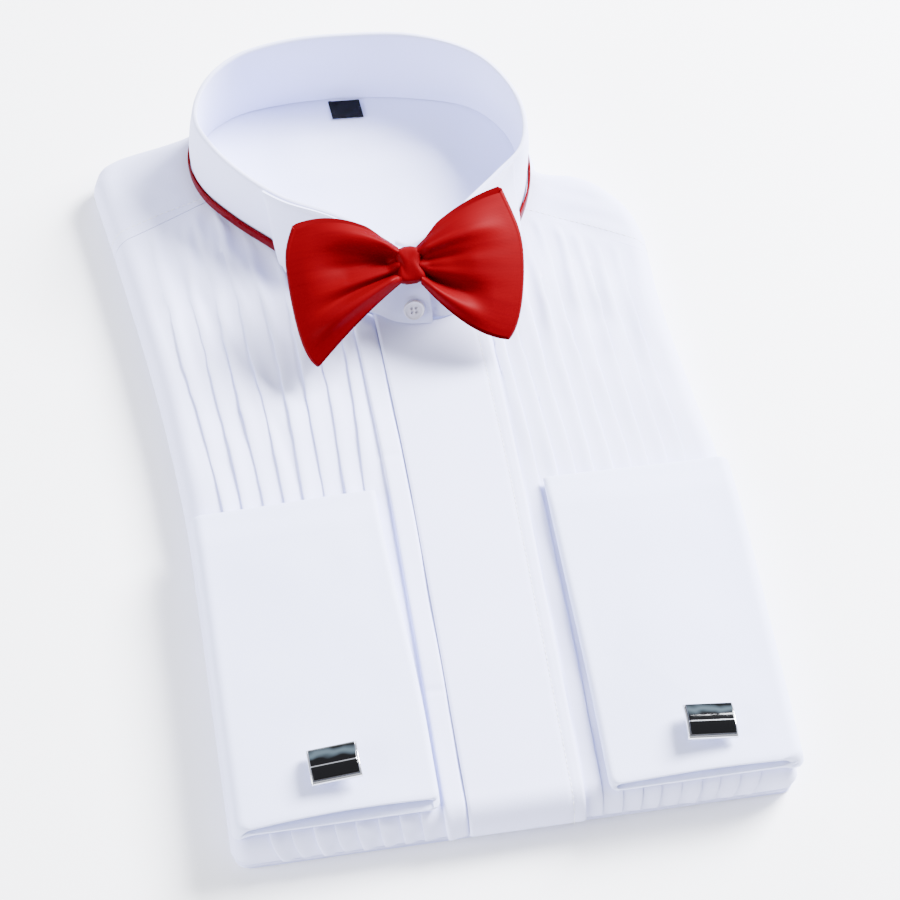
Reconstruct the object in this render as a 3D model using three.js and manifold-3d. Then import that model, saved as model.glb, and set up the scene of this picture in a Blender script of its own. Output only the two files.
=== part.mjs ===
// Folded long sleeve dress shirt with wing collar, pleated front, double cuffs, cufflinks and bow tie.
// Millimetres, +Z up. The shirt lies front up, its collar towards +Y and its underside on Z = 0.
import * as THREE from 'three';
import * as BufferGeometryUtils from 'three/addons/utils/BufferGeometryUtils.js';
import Module from 'manifold-3d';

const wasm = await Module();
wasm.setup();

// Driving sizes of the folded body
const HALF_WIDTH = 113;
const BOTTOM_Y = -168;
const LEAN_START_Y = -20;
const LEAN_SPAN = 192;
const LEAN_DEPTH = 20;
const LEAN_POWER = 1.5;
const CORNER_RADIUS = 8.5;
const CORNER_RELIEF = 0.3;
const FOLD_REACH = 6.5;
const FOLD_STEPS = 4;
const FOLD_MIDDLE_Z = 8;
const TOP_Z = 18;
const CROWN = 2;
const CROWN_REACH = 70;
const BBOX_CENTRE_X = -8.37;
const BBOX_CENTRE_Y = 19.28;

// Cloth walls and the clearances between pieces
const CLEARANCE = 0.45;
const PANEL_WALL = 1.4;
const PLACKET_WALL = 1.5;
const CUFF_WALL = 1.9;
const STAND_WALL = 2.4;
const WING_WALL = 1.5;
const SATIN_WALL = 1.2;
const SEAM_HALF_GAP = 0.25;
const PANEL_TOP = CLEARANCE + PANEL_WALL;

// Pleats
const PLEAT_HEIGHT = 0.95;
const STRIP_HEIGHT = 1.5;
const PLEAT_LIP = 0.07;
const PLEAT_VALLEY = 0.55;
const PLEAT_FADE = 9;
const LEFT_PLEATS = 9;
const RIGHT_PLEATS = 9;

// Placket edges and cuffs, in plan
const PLACKET_LEFT_X = -19;
const PLACKET_RIGHT_X = 28;
const PLACKET_SPLIT_X = 4;
const PLACKET_LEAN_SHARE = 0.35;
const CUFF_TOP_Y = { left: -15, right: -20 };
const CUFF_MOUTH_Y = { left: -164.5, right: -167.5 };
const CUFF_LIFT = PANEL_TOP + PLEAT_HEIGHT + 0.5;
const CUFF_THICKNESS = { closed: 3.6, open: 5.6, softness: 0.8 };
const CUFF_ROUNDING = { edge: 1.2, hollow: 0.4 };

// Cufflinks
const LINK_LENGTH = 20.5;
const LINK_HEIGHT = 15.5;
const LINK_CURVE_DROP = 1.5;
const LINK_RIM = 0.8;

// Bow tie
const BOW_CENTRE = new THREE.Vector3(-5.3, 77.1, 53.1);
const BOW_TILT = THREE.MathUtils.degToRad(28);
const BOW_LAYER_GAP = 3.2;
const BAND_RISE = 25.8;

const COLOURS = {
  cloth: 0xf2f3fb,
  cuff: 0xe9edf8,
  label: 0x15161b,
  button: 0xdfe2ea,
  satin: 0xb70a10,
  enamel: 0x0b0c10,
  silver: 0xc9ccd2,
};

// Neck seam and collar rim, paired row by row from the front middle towards +X, round the back.
const COLLAR_ROWS = [
  { baseX: -4, baseY: 69.5, rimX: -4, rimY: 88.5, rimZ: 51.5 },
  { baseX: 13, baseY: 71, rimX: 11, rimY: 95, rimZ: 52.5 },
  { baseX: 31, baseY: 89, rimX: 24.5, rimY: 107, rimZ: 54 },
  { baseX: 45, baseY: 112, rimX: 40, rimY: 119.5, rimZ: 55.5 },
  { baseX: 53, baseY: 131, rimX: 52, rimY: 130.5, rimZ: 57 },
  { baseX: 55.5, baseY: 150, rimX: 55.5, rimY: 146.5, rimZ: 58.5 },
  { baseX: 51.5, baseY: 168, rimX: 51.5, rimY: 164.5, rimZ: 59.5 },
  { baseX: 38.5, baseY: 184, rimX: 39.5, rimY: 182.5, rimZ: 60 },
  { baseX: 13, baseY: 193.5, rimX: 14.5, rimY: 196, rimZ: 60.5 },
  { baseX: -15, baseY: 198, rimX: -14.5, rimY: 200.5, rimZ: 61 },
  { baseX: -43, baseY: 199, rimX: -43, rimY: 201, rimZ: 61 },
  { baseX: -68, baseY: 195, rimX: -66, rimY: 196, rimZ: 60 },
  { baseX: -83, baseY: 184, rimX: -80, rimY: 184, rimZ: 59 },
  { baseX: -88, baseY: 168, rimX: -86, rimY: 167, rimZ: 57.5 },
  { baseX: -84.5, baseY: 151, rimX: -80.5, rimY: 152, rimZ: 56 },
  { baseX: -73, baseY: 134.5, rimX: -68.5, rimY: 135, rimZ: 55 },
  { baseX: -56, baseY: 116, rimX: -53, rimY: 120.5, rimZ: 54 },
  { baseX: -38, baseY: 94, rimX: -34, rimY: 110, rimZ: 53 },
  { baseX: -20, baseY: 76, rimX: -17, rimY: 97.5, rimZ: 52 },
];

// Back edge of the folded body, from its right shoulder over the neck to its left shoulder
const TOP_EDGE = [
  { x: 102, y: 104 },
  { x: 100.6, y: 112 },
  { x: 97.5, y: 121 },
  { x: 91.5, y: 130 },
  { x: 84.5, y: 137 },
  { x: 76, y: 141.5 },
  { x: 67, y: 143.5 },
  { x: 61.5, y: 147 },
  { x: 60.5, y: 155 },
  { x: 58.5, y: 164.5 },
  { x: 53, y: 175 },
  { x: 44, y: 185.5 },
  { x: 32, y: 195 },
  { x: 18, y: 202 },
  { x: 2, y: 206.5 },
  { x: -15, y: 208.5 },
  { x: -32, y: 208.5 },
  { x: -49, y: 206.5 },
  { x: -65, y: 202.5 },
  { x: -79, y: 195.5 },
  { x: -90, y: 189.5 },
  { x: -102, y: 186 },
  { x: -114, y: 183.5 },
  { x: -123, y: 181 },
  { x: -129.5, y: 177 },
  { x: -132.3, y: 170 },
];

// Half of the folded width, on its own line of lean
const WIDTH_ROWS = [
  { y: -170, left: 112.2, right: 113.6 },
  { y: -60, left: 111.6, right: 113 },
  { y: -8, left: 111.6, right: 111.6 },
  { y: 10, left: 111.6, right: 109.9 },
  { y: 32, left: 111.6, right: 108.9 },
  { y: 53, left: 111.7, right: 108.4 },
  { y: 75, left: 111.9, right: 109 },
  { y: 98, left: 112.2, right: 111.5 },
  { y: 160, left: 112.8, right: 112.8 },
];

const clamp = THREE.MathUtils.clamp;
const smoothstep = THREE.MathUtils.smoothstep;
const lerp = THREE.MathUtils.lerp;

function tableValue(rows, keyName, valueName, key) {
  const last = rows.length - 1;
  if (key <= rows[0][keyName]) return rows[0][valueName];
  if (key >= rows[last][keyName]) return rows[last][valueName];
  const next = rows.findIndex((row) => row[keyName] >= key);
  const before = rows[next - 1];
  const after = rows[next];
  const share = (key - before[keyName]) / (after[keyName] - before[keyName]);
  return lerp(before[valueName], after[valueName], share);
}

// Inset and height of a point that is turned by this share of the quarter round of an edge fold
function foldInset(turned) {
  return FOLD_REACH * (1 - Math.sin(turned * Math.PI / 2));
}

const FOLD_TURNS = Array.from({ length: FOLD_STEPS }, (unused, step) => 1 - step / FOLD_STEPS);

// Plan of the folded body

function lean(y) {
  const beyond = Math.max(0, y - LEAN_START_Y) / LEAN_SPAN;
  return -LEAN_DEPTH * beyond ** LEAN_POWER;
}

function halfWidthAt(y, side, rounded = true) {
  const nearBottom = clamp((y - BOTTOM_Y) / CORNER_RADIUS, 0, 1);
  const corner = rounded ? CORNER_RADIUS * (1 - Math.sqrt(1 - (1 - nearBottom) ** 2)) : 0;
  return tableValue(WIDTH_ROWS, 'y', side, y) - corner;
}

function edgeX(y, side) {
  return lean(y) + (side === 'left' ? -halfWidthAt(y, side) : halfWidthAt(y, side));
}

const SIDE_ROWS = { from: BOTTOM_Y + CORNER_RADIUS, left: 160, right: 96, pitch: 13 };

// The outline once round, anticlockwise from the left end of the bottom fold
function bodyOutline() {
  const outline = [];
  const bottomSteps = 14;
  for (let step = 0; step <= bottomSteps; step += 1) {
    const x = lerp(edgeX(BOTTOM_Y, 'left'), edgeX(BOTTOM_Y, 'right'), step / bottomSteps);
    outline.push(new THREE.Vector2(x, BOTTOM_Y));
  }
  const cornerRows = FOLD_TURNS.slice(1).map((turned) => BOTTOM_Y + foldInset(turned));
  const sideRows = (side) => {
    const steps = Math.round((SIDE_ROWS[side] - SIDE_ROWS.from) / SIDE_ROWS.pitch);
    return Array.from({ length: steps + 1 }, (unused, step) => (
      lerp(SIDE_ROWS.from, SIDE_ROWS[side], step / steps)));
  };
  [...cornerRows, ...sideRows('right')].forEach((y) => {
    outline.push(new THREE.Vector2(edgeX(y, 'right'), y));
  });
  TOP_EDGE.forEach(({ x, y }) => outline.push(new THREE.Vector2(x, y)));
  [...cornerRows, ...sideRows('left')].reverse().forEach((y) => {
    outline.push(new THREE.Vector2(edgeX(y, 'left'), y));
  });
  return outline;
}

const OUTLINE = bodyOutline();

function distanceToOutline(x, y) {
  let least = Infinity;
  OUTLINE.forEach((start, index) => {
    const end = OUTLINE[(index + 1) % OUTLINE.length];
    const alongX = end.x - start.x;
    const alongY = end.y - start.y;
    const length = alongX * alongX + alongY * alongY;
    const share = clamp(((x - start.x) * alongX + (y - start.y) * alongY) / length, 0, 1);
    least = Math.min(least, Math.hypot(start.x + alongX * share - x, start.y + alongY * share - y));
  });
  return least;
}

// Height of the hidden layers over a plan point: flat, and rounded over at every edge
function coreZ(x, y) {
  const inset = clamp(distanceToOutline(x, y) / FOLD_REACH, 0, 1);
  const arc = Math.sqrt(Math.max(0, 1 - (1 - inset) ** 2));
  return FOLD_MIDDLE_Z + (TOP_Z - FOLD_MIDDLE_Z) * arc;
}

// Height of the skin that the panels lie on: the layers below, and the cloth's own soft crown
function skinZ(x, y) {
  const share = (x - lean(y)) / HALF_WIDTH;
  const inwards = smoothstep(distanceToOutline(x, y), FOLD_REACH * 0.5, CROWN_REACH);
  return coreZ(x, y) + CROWN * inwards * (1 - 0.3 * share * share);
}

// Closed meshes

function meshGeometry(points, triangles) {
  const positions = new Float32Array(points.length * 3);
  points.forEach((point, index) => point.toArray(positions, index * 3));
  const geometry = new THREE.BufferGeometry();
  geometry.setAttribute('position', new THREE.BufferAttribute(positions, 3));
  geometry.setIndex(triangles);
  return geometry;
}

function signedVolume(points, triangles) {
  let total = 0;
  const cross = new THREE.Vector3();
  for (let index = 0; index < triangles.length; index += 3) {
    const [a, b, c] = [0, 1, 2].map((offset) => points[triangles[index + offset]]);
    total += cross.crossVectors(b, c).dot(a) / 6;
  }
  return total;
}

function outward(points, triangles) {
  if (signedVolume(points, triangles) > 0) return triangles;
  const turned = [];
  for (let index = 0; index < triangles.length; index += 3) {
    turned.push(triangles[index], triangles[index + 2], triangles[index + 1]);
  }
  return turned;
}

function splitQuad(points, triangles, a, b, c, d) {
  const straight = points[a].distanceToSquared(points[c]);
  const crossed = points[b].distanceToSquared(points[d]);
  if (straight <= crossed) {
    triangles.push(a, b, c, a, c, d);
  } else {
    triangles.push(a, b, d, b, c, d);
  }
}

// A wall between two grids of points, closed along its four edges.
function wallGeometry(outerGrid, innerGrid) {
  const rows = outerGrid.length;
  const columns = outerGrid[0].length;
  const points = [...outerGrid.flat(), ...innerGrid.flat()];
  const shift = rows * columns;
  const outer = (row, column) => row * columns + column;
  const inner = (row, column) => shift + row * columns + column;
  const triangles = [];
  for (let row = 0; row < rows - 1; row += 1) {
    for (let column = 0; column < columns - 1; column += 1) {
      splitQuad(points, triangles, outer(row, column), outer(row, column + 1),
        outer(row + 1, column + 1), outer(row + 1, column));
      splitQuad(points, triangles, inner(row, column), inner(row + 1, column),
        inner(row + 1, column + 1), inner(row, column + 1));
    }
  }
  const border = [];
  for (let column = 0; column < columns - 1; column += 1) border.push([0, column]);
  for (let row = 0; row < rows - 1; row += 1) border.push([row, columns - 1]);
  for (let column = columns - 1; column > 0; column -= 1) border.push([rows - 1, column]);
  for (let row = rows - 1; row > 0; row -= 1) border.push([row, 0]);
  border.forEach(([row, column], index) => {
    const [nextRow, nextColumn] = border[(index + 1) % border.length];
    splitQuad(points, triangles, outer(nextRow, nextColumn), outer(row, column),
      inner(row, column), inner(nextRow, nextColumn));
  });
  return meshGeometry(points, outward(points, triangles));
}

// Rings of equal count joined in order, with flat or zipped caps at both ends.
function ringsGeometry(rings) {
  const count = rings[0].length;
  const points = rings.flat();
  const triangles = [];
  for (let ring = 0; ring < rings.length - 1; ring += 1) {
    for (let index = 0; index < count; index += 1) {
      const next = (index + 1) % count;
      splitQuad(points, triangles, ring * count + index, ring * count + next,
        (ring + 1) * count + next, (ring + 1) * count + index);
    }
  }
  const zipCap = (start, flip) => {
    for (let index = 0; index < count / 2 - 1; index += 1) {
      const near = [start + index, start + index + 1];
      const far = [start + count - 1 - index, start + count - 2 - index];
      const faces = [[near[0], far[0], far[1]], [near[0], far[1], near[1]]];
      faces.forEach(([a, b, c]) => {
        if (new Set([a, b, c]).size === 3) triangles.push(...(flip ? [a, c, b] : [a, b, c]));
      });
    }
  };
  zipCap(0, false);
  zipCap((rings.length - 1) * count, true);
  return meshGeometry(points, outward(points, triangles));
}

function gridNormals(grid) {
  const rows = grid.length;
  const columns = grid[0].length;
  return grid.map((line, row) => line.map((point, column) => {
    const along = grid[Math.min(row + 1, rows - 1)][column].clone()
      .sub(grid[Math.max(row - 1, 0)][column]);
    const across = line[Math.min(column + 1, columns - 1)].clone()
      .sub(line[Math.max(column - 1, 0)]);
    return across.cross(along).normalize();
  }));
}

// A cloth wall on a grid of skin points: lifted off the skin, with extra height where it is pleated.
function clothWall(grid, normals, lift, wall, relief = () => 0) {
  const raised = (row, column, height) => grid[row][column].clone()
    .addScaledVector(normals[row][column], height);
  const outer = grid.map((line, row) => line.map((point, column) => (
    raised(row, column, lift + wall + relief(row, column)))));
  const inner = grid.map((line, row) => line.map((point, column) => raised(row, column, lift)));
  return wallGeometry(outer, inner);
}

// Collar curves

function closedCurve(xName, yName, zOf) {
  const points = COLLAR_ROWS.map((row) => new THREE.Vector3(row[xName], row[yName], zOf(row)));
  return new THREE.CatmullRomCurve3(points, true, 'centripetal');
}

const neckCurve = closedCurve('baseX', 'baseY', () => 0);
const rimCurve = closedCurve('rimX', 'rimY', (row) => row.rimZ);
const NECK_SAMPLES = 190;
const neckPolyline = Array.from({ length: NECK_SAMPLES }, (unused, index) => (
  neckCurve.getPoint(index / NECK_SAMPLES)));

function neckOutward(share) {
  const tangent = neckCurve.getTangent(share);
  return new THREE.Vector3(tangent.y, -tangent.x, 0).normalize();
}

// Height of the cloth under the collar: inside the neck it stays flat up to the fold of the edge
function neckZ(x, y) {
  return TOP_Z + skinZ(x, y) - coreZ(x, y);
}

const PLACKET_SHARE = 2.7 / 19;

function standFoot(share) {
  const point = neckCurve.getPoint(share);
  const fromFront = Math.min(share, 1 - share);
  const overPlacket = 1 - smoothstep(fromFront, PLACKET_SHARE * 0.8, PLACKET_SHARE);
  point.z = neckZ(point.x, point.y) + PANEL_TOP + CLEARANCE
    + overPlacket * (PLACKET_WALL + CLEARANCE);
  return point;
}

function frontNeckY(x) {
  let lowest = Infinity;
  neckPolyline.forEach((point, index) => {
    const next = neckPolyline[(index + 1) % NECK_SAMPLES];
    const crosses = (point.x - x) * (next.x - x) <= 0 && point.x !== next.x;
    if (crosses) lowest = Math.min(lowest, lerp(point.y, next.y, (x - point.x) / (next.x - point.x)));
  });
  return lowest;
}

// Front shoulder seams, from the side fold to the collar
const YOKE_SEAM = {
  left: { outer: { x: -128, y: 132 }, inner: { x: -84, y: 149 }, neckShare: 14.1 / 19 },
  right: { outer: { x: 103, y: 92 }, inner: { x: 52, y: 122 }, neckShare: 3.67 / 19 },
};

function seamY(side, x) {
  const { outer, inner } = YOKE_SEAM[side];
  return lerp(outer.y, inner.y, (x - outer.x) / (inner.x - outer.x));
}

function panelEndY(side, x) {
  return Math.min(seamY(side, x), frontNeckY(x) - 1.2) - SEAM_HALF_GAP;
}

// Folded body: hidden layers as one rounded solid, with the layers' lips round its edge
const EDGE_LIPS = [
  { outset: 0, z: 7.4 },
  { outset: 1, z: 6.6 },
  { outset: 1, z: 4.8 },
  { outset: -0.8, z: 4.1 },
  { outset: 0.5, z: 3.4 },
  { outset: 0.5, z: 1.1 },
  { outset: -0.6, z: 0 },
];

function outlineNormals() {
  return OUTLINE.map((point, index) => {
    const before = OUTLINE[(index + OUTLINE.length - 1) % OUTLINE.length];
    const after = OUTLINE[(index + 1) % OUTLINE.length];
    const first = new THREE.Vector2(point.y - before.y, before.x - point.x).normalize();
    const second = new THREE.Vector2(after.y - point.y, point.x - after.x).normalize();
    const middle = first.clone().add(second).normalize();
    return middle.divideScalar(Math.max(0.5, middle.dot(first)));
  });
}

function foldedBody() {
  const normals = outlineNormals();
  const ringAt = (outset, z) => OUTLINE.map((point, index) => {
    const atCorner = point.y < SIDE_ROWS.from + 1 && Math.abs(point.x) > HALF_WIDTH * 0.8;
    const relief = atCorner || point.y > SIDE_ROWS.right ? CORNER_RELIEF : 0;
    const lowered = z > FOLD_MIDDLE_Z ? relief : 0;
    const reach = outset - relief * 0.6;
    return new THREE.Vector3(
      point.x + normals[index].x * reach,
      point.y + normals[index].y * reach,
      z - lowered,
    );
  });
  const rings = [ringAt(-FOLD_REACH, TOP_Z)];
  [...FOLD_TURNS].reverse().forEach((turned) => {
    const z = FOLD_MIDDLE_Z + (TOP_Z - FOLD_MIDDLE_Z) * Math.cos(turned * Math.PI / 2);
    rings.push(ringAt(-foldInset(turned), z));
  });
  EDGE_LIPS.forEach(({ outset, z }) => rings.push(ringAt(outset, z)));
  const points = rings.flat();
  const count = OUTLINE.length;
  const triangles = [];
  for (let ring = 0; ring < rings.length - 1; ring += 1) {
    for (let index = 0; index < count; index += 1) {
      const next = (index + 1) % count;
      splitQuad(points, triangles, ring * count + index, (ring + 1) * count + index,
        (ring + 1) * count + next, ring * count + next);
    }
  }
  const addCap = (start, flip) => {
    const flat = points.slice(start, start + count).map((point) => new THREE.Vector2(point.x, point.y));
    THREE.ShapeUtils.triangulateShape(flat, []).forEach(([a, b, c]) => {
      triangles.push(...(flip ? [start + a, start + c, start + b] : [start + a, start + b, start + c]));
    });
  };
  addCap(0, false);
  addCap((rings.length - 1) * count, true);
  return meshGeometry(points, outward(points, triangles));
}

// Front panels with their pleats

// Share of the panel's width, from its placket edge outwards, of each pleat's lip
const PLEAT_TABLE = {
  left: { first: 0.197, pitch: 0.0925, count: LEFT_PLEATS - 1, spread: 0.1 },
  right: { first: 0.081, pitch: 0.0936, count: RIGHT_PLEATS, spread: 0.04 },
};
const STRIP_LIP = 0.1;

function pleatColumns(side) {
  const { first, pitch, count } = PLEAT_TABLE[side];
  const columns = [];
  if (side === 'left') {
    columns.push({ share: 0.022, height: STRIP_HEIGHT });
    columns.push({ share: STRIP_LIP - 0.008, height: STRIP_HEIGHT });
    columns.push({ share: STRIP_LIP + 0.004, height: 0 });
  }
  for (let pleat = 0; pleat < count; pleat += 1) {
    const lip = first + pleat * pitch;
    if (pleat > 0 || side === 'left') {
      columns.push({ share: lip - pitch * PLEAT_VALLEY, height: PLEAT_HEIGHT * 0.25 });
    }
    columns.push({ share: lip - pitch * PLEAT_LIP, height: PLEAT_HEIGHT });
    columns.push({ share: lip + pitch * PLEAT_LIP, height: 0 });
  }
  return columns;
}

function frontPanel(side) {
  const sign = side === 'left' ? -1 : 1;
  const placketX = side === 'left' ? PLACKET_LEFT_X : PLACKET_RIGHT_X;
  const { spread, first, pitch, count } = PLEAT_TABLE[side];
  const middle = first + pitch * count / 2;
  const underPlacket = PLACKET_SPLIT_X + sign * SEAM_HALF_GAP;
  const columns = [
    { under: 0, height: 0 },
    { under: 0.6, height: 0 },
    { under: 1, height: 0 },
    ...pleatColumns(side),
    { turned: 0, height: 0 },
    ...[...FOLD_TURNS].reverse().map((turned) => ({ turned, height: 0 })),
  ];
  const flatRows = 13;
  const acrossX = (column, y) => {
    const placket = placketShift(y) + placketX;
    const edge = edgeX(y, side);
    if (column.under !== undefined) return lerp(placketShift(y) + underPlacket, placket, column.under);
    if (column.turned !== undefined) return edge - sign * foldInset(column.turned);
    const opened = 1 + spread * smoothstep(y, -20, 60) * (1 - 0.5 * smoothstep(y, 60, 140));
    const share = middle + (column.share - middle) * (column.share > STRIP_LIP + 0.01 ? opened : 1);
    const innerEdge = edge - sign * (FOLD_REACH + 0.5);
    const wanted = lerp(placket, edge, share);
    return sign < 0 ? Math.max(wanted, innerEdge) : Math.min(wanted, innerEdge);
  };
  const endOf = (column) => {
    let y = 100;
    for (let pass = 0; pass < 14; pass += 1) y = lerp(y, panelEndY(side, acrossX(column, y)), 0.6);
    return y;
  };
  const ends = columns.map(endOf);
  const yAt = (row, column) => {
    if (row < FOLD_STEPS) return BOTTOM_Y + foldInset(FOLD_TURNS[row]);
    return lerp(BOTTOM_Y + FOLD_REACH, ends[column], (row - FOLD_STEPS) / flatRows);
  };
  const rows = FOLD_STEPS + 1 + flatRows;
  const grid = Array.from({ length: rows }, (unused, row) => columns.map((column, index) => {
    const y = yAt(row, index);
    const x = acrossX(column, y);
    const z = column.turned === 1 || row === 0 ? FOLD_MIDDLE_Z : skinZ(x, y);
    return new THREE.Vector3(x, y, z);
  }));
  const normals = gridNormals(grid).map((line) => line.map((normal) => (
    side === 'left' ? normal.negate() : normal)));
  const relief = (row, column) => {
    const toEnd = clamp((ends[column] - grid[row][column].y) / PLEAT_FADE, 0, 1);
    return columns[column].height * toEnd;
  };
  return clothWall(grid, normals, CLEARANCE, PANEL_WALL, relief);
}

function placketShift(y) {
  return lean(y) * PLACKET_LEAN_SHARE;
}

function flyPlacket() {
  const columns = [0, 0.04, 0.3, 0.6, 0.96, 1];
  const flatRows = 14;
  const rows = FOLD_STEPS + 1 + flatRows;
  const xAt = (share, y) => placketShift(y) + lerp(PLACKET_LEFT_X, PLACKET_RIGHT_X, share);
  const ends = columns.map((share) => {
    let y = 70;
    for (let pass = 0; pass < 12; pass += 1) y = frontNeckY(xAt(share, y)) - 1.2;
    return y;
  });
  const yAt = (row, column) => (row < FOLD_STEPS ? BOTTOM_Y + foldInset(FOLD_TURNS[row])
    : lerp(BOTTOM_Y + FOLD_REACH, ends[column], (row - FOLD_STEPS) / flatRows));
  const grid = Array.from({ length: rows }, (unused, row) => columns.map((share, column) => {
    const y = yAt(row, column);
    const x = xAt(share, y);
    return new THREE.Vector3(x, y, row === 0 ? FOLD_MIDDLE_Z : skinZ(x, y));
  }));
  const rounded = (row, column) => (column === 0 || column === columns.length - 1 ? -0.5 : 0);
  return clothWall(grid, gridNormals(grid), PANEL_TOP + CLEARANCE, PLACKET_WALL, rounded);
}

// Share of the way from the outline to the neck at which the inset from the outline is reached
function shareAtInset(edge, neck, inset) {
  if (inset === 0) return 0;
  const insetAt = (share) => distanceToOutline(lerp(edge.x, neck.x, share), lerp(edge.y, neck.y, share));
  const wanted = Math.min(inset, insetAt(0.9) * inset / FOLD_REACH);
  let low = 0;
  let high = 0.9;
  for (let pass = 0; pass < 24; pass += 1) {
    const middle = (low + high) / 2;
    if (insetAt(middle) < wanted) low = middle;
    else high = middle;
  }
  return (low + high) / 2;
}

// Yoke over the shoulders and round the back of the neck
function yoke() {
  const left = YOKE_SEAM.left;
  const right = YOKE_SEAM.right;
  const seamEnd = (side, seam) => {
    const y = seam.outer.y + SEAM_HALF_GAP * 2;
    return new THREE.Vector2(edgeX(y, side), y);
  };
  const beyondSeams = OUTLINE.filter(({ x, y }) => (
    x < 0 ? y > left.outer.y + 3 : y > right.outer.y + 3));
  const rim = [seamEnd('right', right), ...beyondSeams, seamEnd('left', left)];
  const rimLengths = [0];
  rim.slice(1).forEach((point, index) => {
    rimLengths.push(rimLengths[index] + point.distanceTo(rim[index]));
  });
  const total = rimLengths[rimLengths.length - 1];
  const rowTurns = [
    { flat: 0 },
    { flat: 0.5 },
    { flat: 1 },
    ...[...FOLD_TURNS].reverse().map((turned) => ({ turned })),
  ];
  const grid = rowTurns.map(({ flat, turned }) => rim.map((edge, column) => {
    const neckShare = yokeNeckShare(rimLengths[column] / total);
    const neck = neckCurve.getPoint(neckShare).addScaledVector(neckOutward(neckShare), 0.45);
    const foldStart = shareAtInset(edge, neck, FOLD_REACH);
    const share = turned === undefined ? lerp(1, foldStart, flat)
      : shareAtInset(edge, neck, foldInset(turned));
    const x = lerp(edge.x, neck.x, share);
    const y = lerp(edge.y, neck.y, share);
    return new THREE.Vector3(x, y, turned === 1 ? FOLD_MIDDLE_Z : skinZ(x, y));
  }));
  const normals = gridNormals(grid).map((line) => line.map((normal) => normal.negate()));
  return clothWall(grid, normals, CLEARANCE, PANEL_WALL);
}

// Where on the neck seam each share of the yoke's outer edge is joined to, from right to left
const YOKE_SPREAD = [
  { edge: 0, neck: YOKE_SEAM.right.neckShare },
  { edge: 0.18, neck: 4.5 / 19 },
  { edge: 0.27, neck: 5.2 / 19 },
  { edge: 0.36, neck: 6.3 / 19 },
  { edge: 0.56, neck: 9 / 19 },
  { edge: 0.74, neck: 12.1 / 19 },
  { edge: 0.86, neck: 13 / 19 },
  { edge: 1, neck: YOKE_SEAM.left.neckShare },
];

function yokeNeckShare(edgeShare) {
  return tableValue(YOKE_SPREAD, 'edge', 'neck', edgeShare);
}

// Inside of the back that shows through the neck
function backNeckInside() {
  const segments = 48;
  const middle = new THREE.Vector3(-14, 140, 0);
  const inset = 0.45;
  const shares = [1, 0.8, 0.55, 0.28];
  const loop = (scale, height) => Array.from({ length: segments }, (unused, index) => {
    const share = index / segments;
    const point = neckCurve.getPoint(share).addScaledVector(neckOutward(share), -inset);
    const x = lerp(middle.x, point.x, scale);
    const y = lerp(middle.y, point.y, scale);
    return new THREE.Vector3(x, y, neckZ(x, y) + height);
  });
  const rings = [
    ...[...shares].reverse().map((scale) => loop(scale, CLEARANCE)),
    ...shares.map((scale) => loop(scale, PANEL_TOP)),
  ];
  const points = rings.flat();
  const triangles = [];
  for (let ring = 0; ring < rings.length - 1; ring += 1) {
    for (let index = 0; index < segments; index += 1) {
      const next = (index + 1) % segments;
      splitQuad(points, triangles, ring * segments + index, ring * segments + next,
        (ring + 1) * segments + next, (ring + 1) * segments + index);
    }
  }
  const addHub = (start, height, flip) => {
    points.push(new THREE.Vector3(middle.x, middle.y, neckZ(middle.x, middle.y) + height));
    const hub = points.length - 1;
    for (let index = 0; index < segments; index += 1) {
      const next = (index + 1) % segments;
      triangles.push(...(flip ? [hub, start + index, start + next] : [hub, start + next, start + index]));
    }
  };
  addHub(0, CLEARANCE, false);
  addHub((rings.length - 1) * segments, PANEL_TOP, true);
  return meshGeometry(points, outward(points, triangles));
}

// Collar

const STAND_OVERLAP = 0.022;

// A point of the stand's wall: share round the neck, height from foot to rim, and depth outwards
function standPoint(share, height, depth) {
  const turn = ((share % 1) + 1) % 1;
  const foot = standFoot(turn);
  const rim = rimCurve.getPoint(turn);
  const bulge = Math.sin(Math.PI * clamp(height, 0, 1)) * 1.2;
  return foot.lerp(rim, height).addScaledVector(neckOutward(turn), depth + bulge);
}

function overlapDepth(share) {
  const reach = 0.03;
  const depth = STAND_WALL / 2 + 0.2;
  const inside = -depth * (1 - smoothstep(share, STAND_OVERLAP, STAND_OVERLAP + reach));
  const outside = depth * smoothstep(share, 1 - STAND_OVERLAP - reach, 1 - STAND_OVERLAP);
  return inside + outside;
}

function collarStand() {
  const sections = 50;
  const half = STAND_WALL / 2;
  const profile = [
    { height: 0, depth: half },
    { height: 0.33, depth: half },
    { height: 0.7, depth: half },
    { height: 0.98, depth: half * 0.9 },
    { height: 1, depth: half * 0.35 },
    { height: 1, depth: -half * 0.35 },
    { height: 0.98, depth: -half * 0.9 },
    { height: 0.7, depth: -half },
    { height: 0.33, depth: -half },
    { height: 0, depth: -half },
  ];
  const rings = Array.from({ length: sections + 1 }, (unused, index) => {
    const share = lerp(-STAND_OVERLAP, 1 + STAND_OVERLAP, index / sections);
    return profile.map(({ height, depth }) => standPoint(share, height, depth + overlapDepth(share)));
  });
  return ringsGeometry(rings);
}

// A folded-down wing: it leaves the rim and reaches over the stand to its tip
const WING_ROWS = {
  left: [
    { share: 15.55 / 19, drop: 1.2 },
    { share: 16.2 / 19, drop: 1.16 },
    { share: 17 / 19, drop: 0.95 },
    { share: 17.6 / 19, drop: 0.7 },
    { share: 18 / 19, drop: 0.45 },
  ],
  right: [
    { share: 3.4 / 19, drop: 1.1 },
    { share: 3.0 / 19, drop: 1.08 },
    { share: 2.2 / 19, drop: 0.9 },
    { share: 1.5 / 19, drop: 0.66 },
    { share: 1 / 19, drop: 0.45 },
  ],
};

const WING_SKEW = 0.042;

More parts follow.
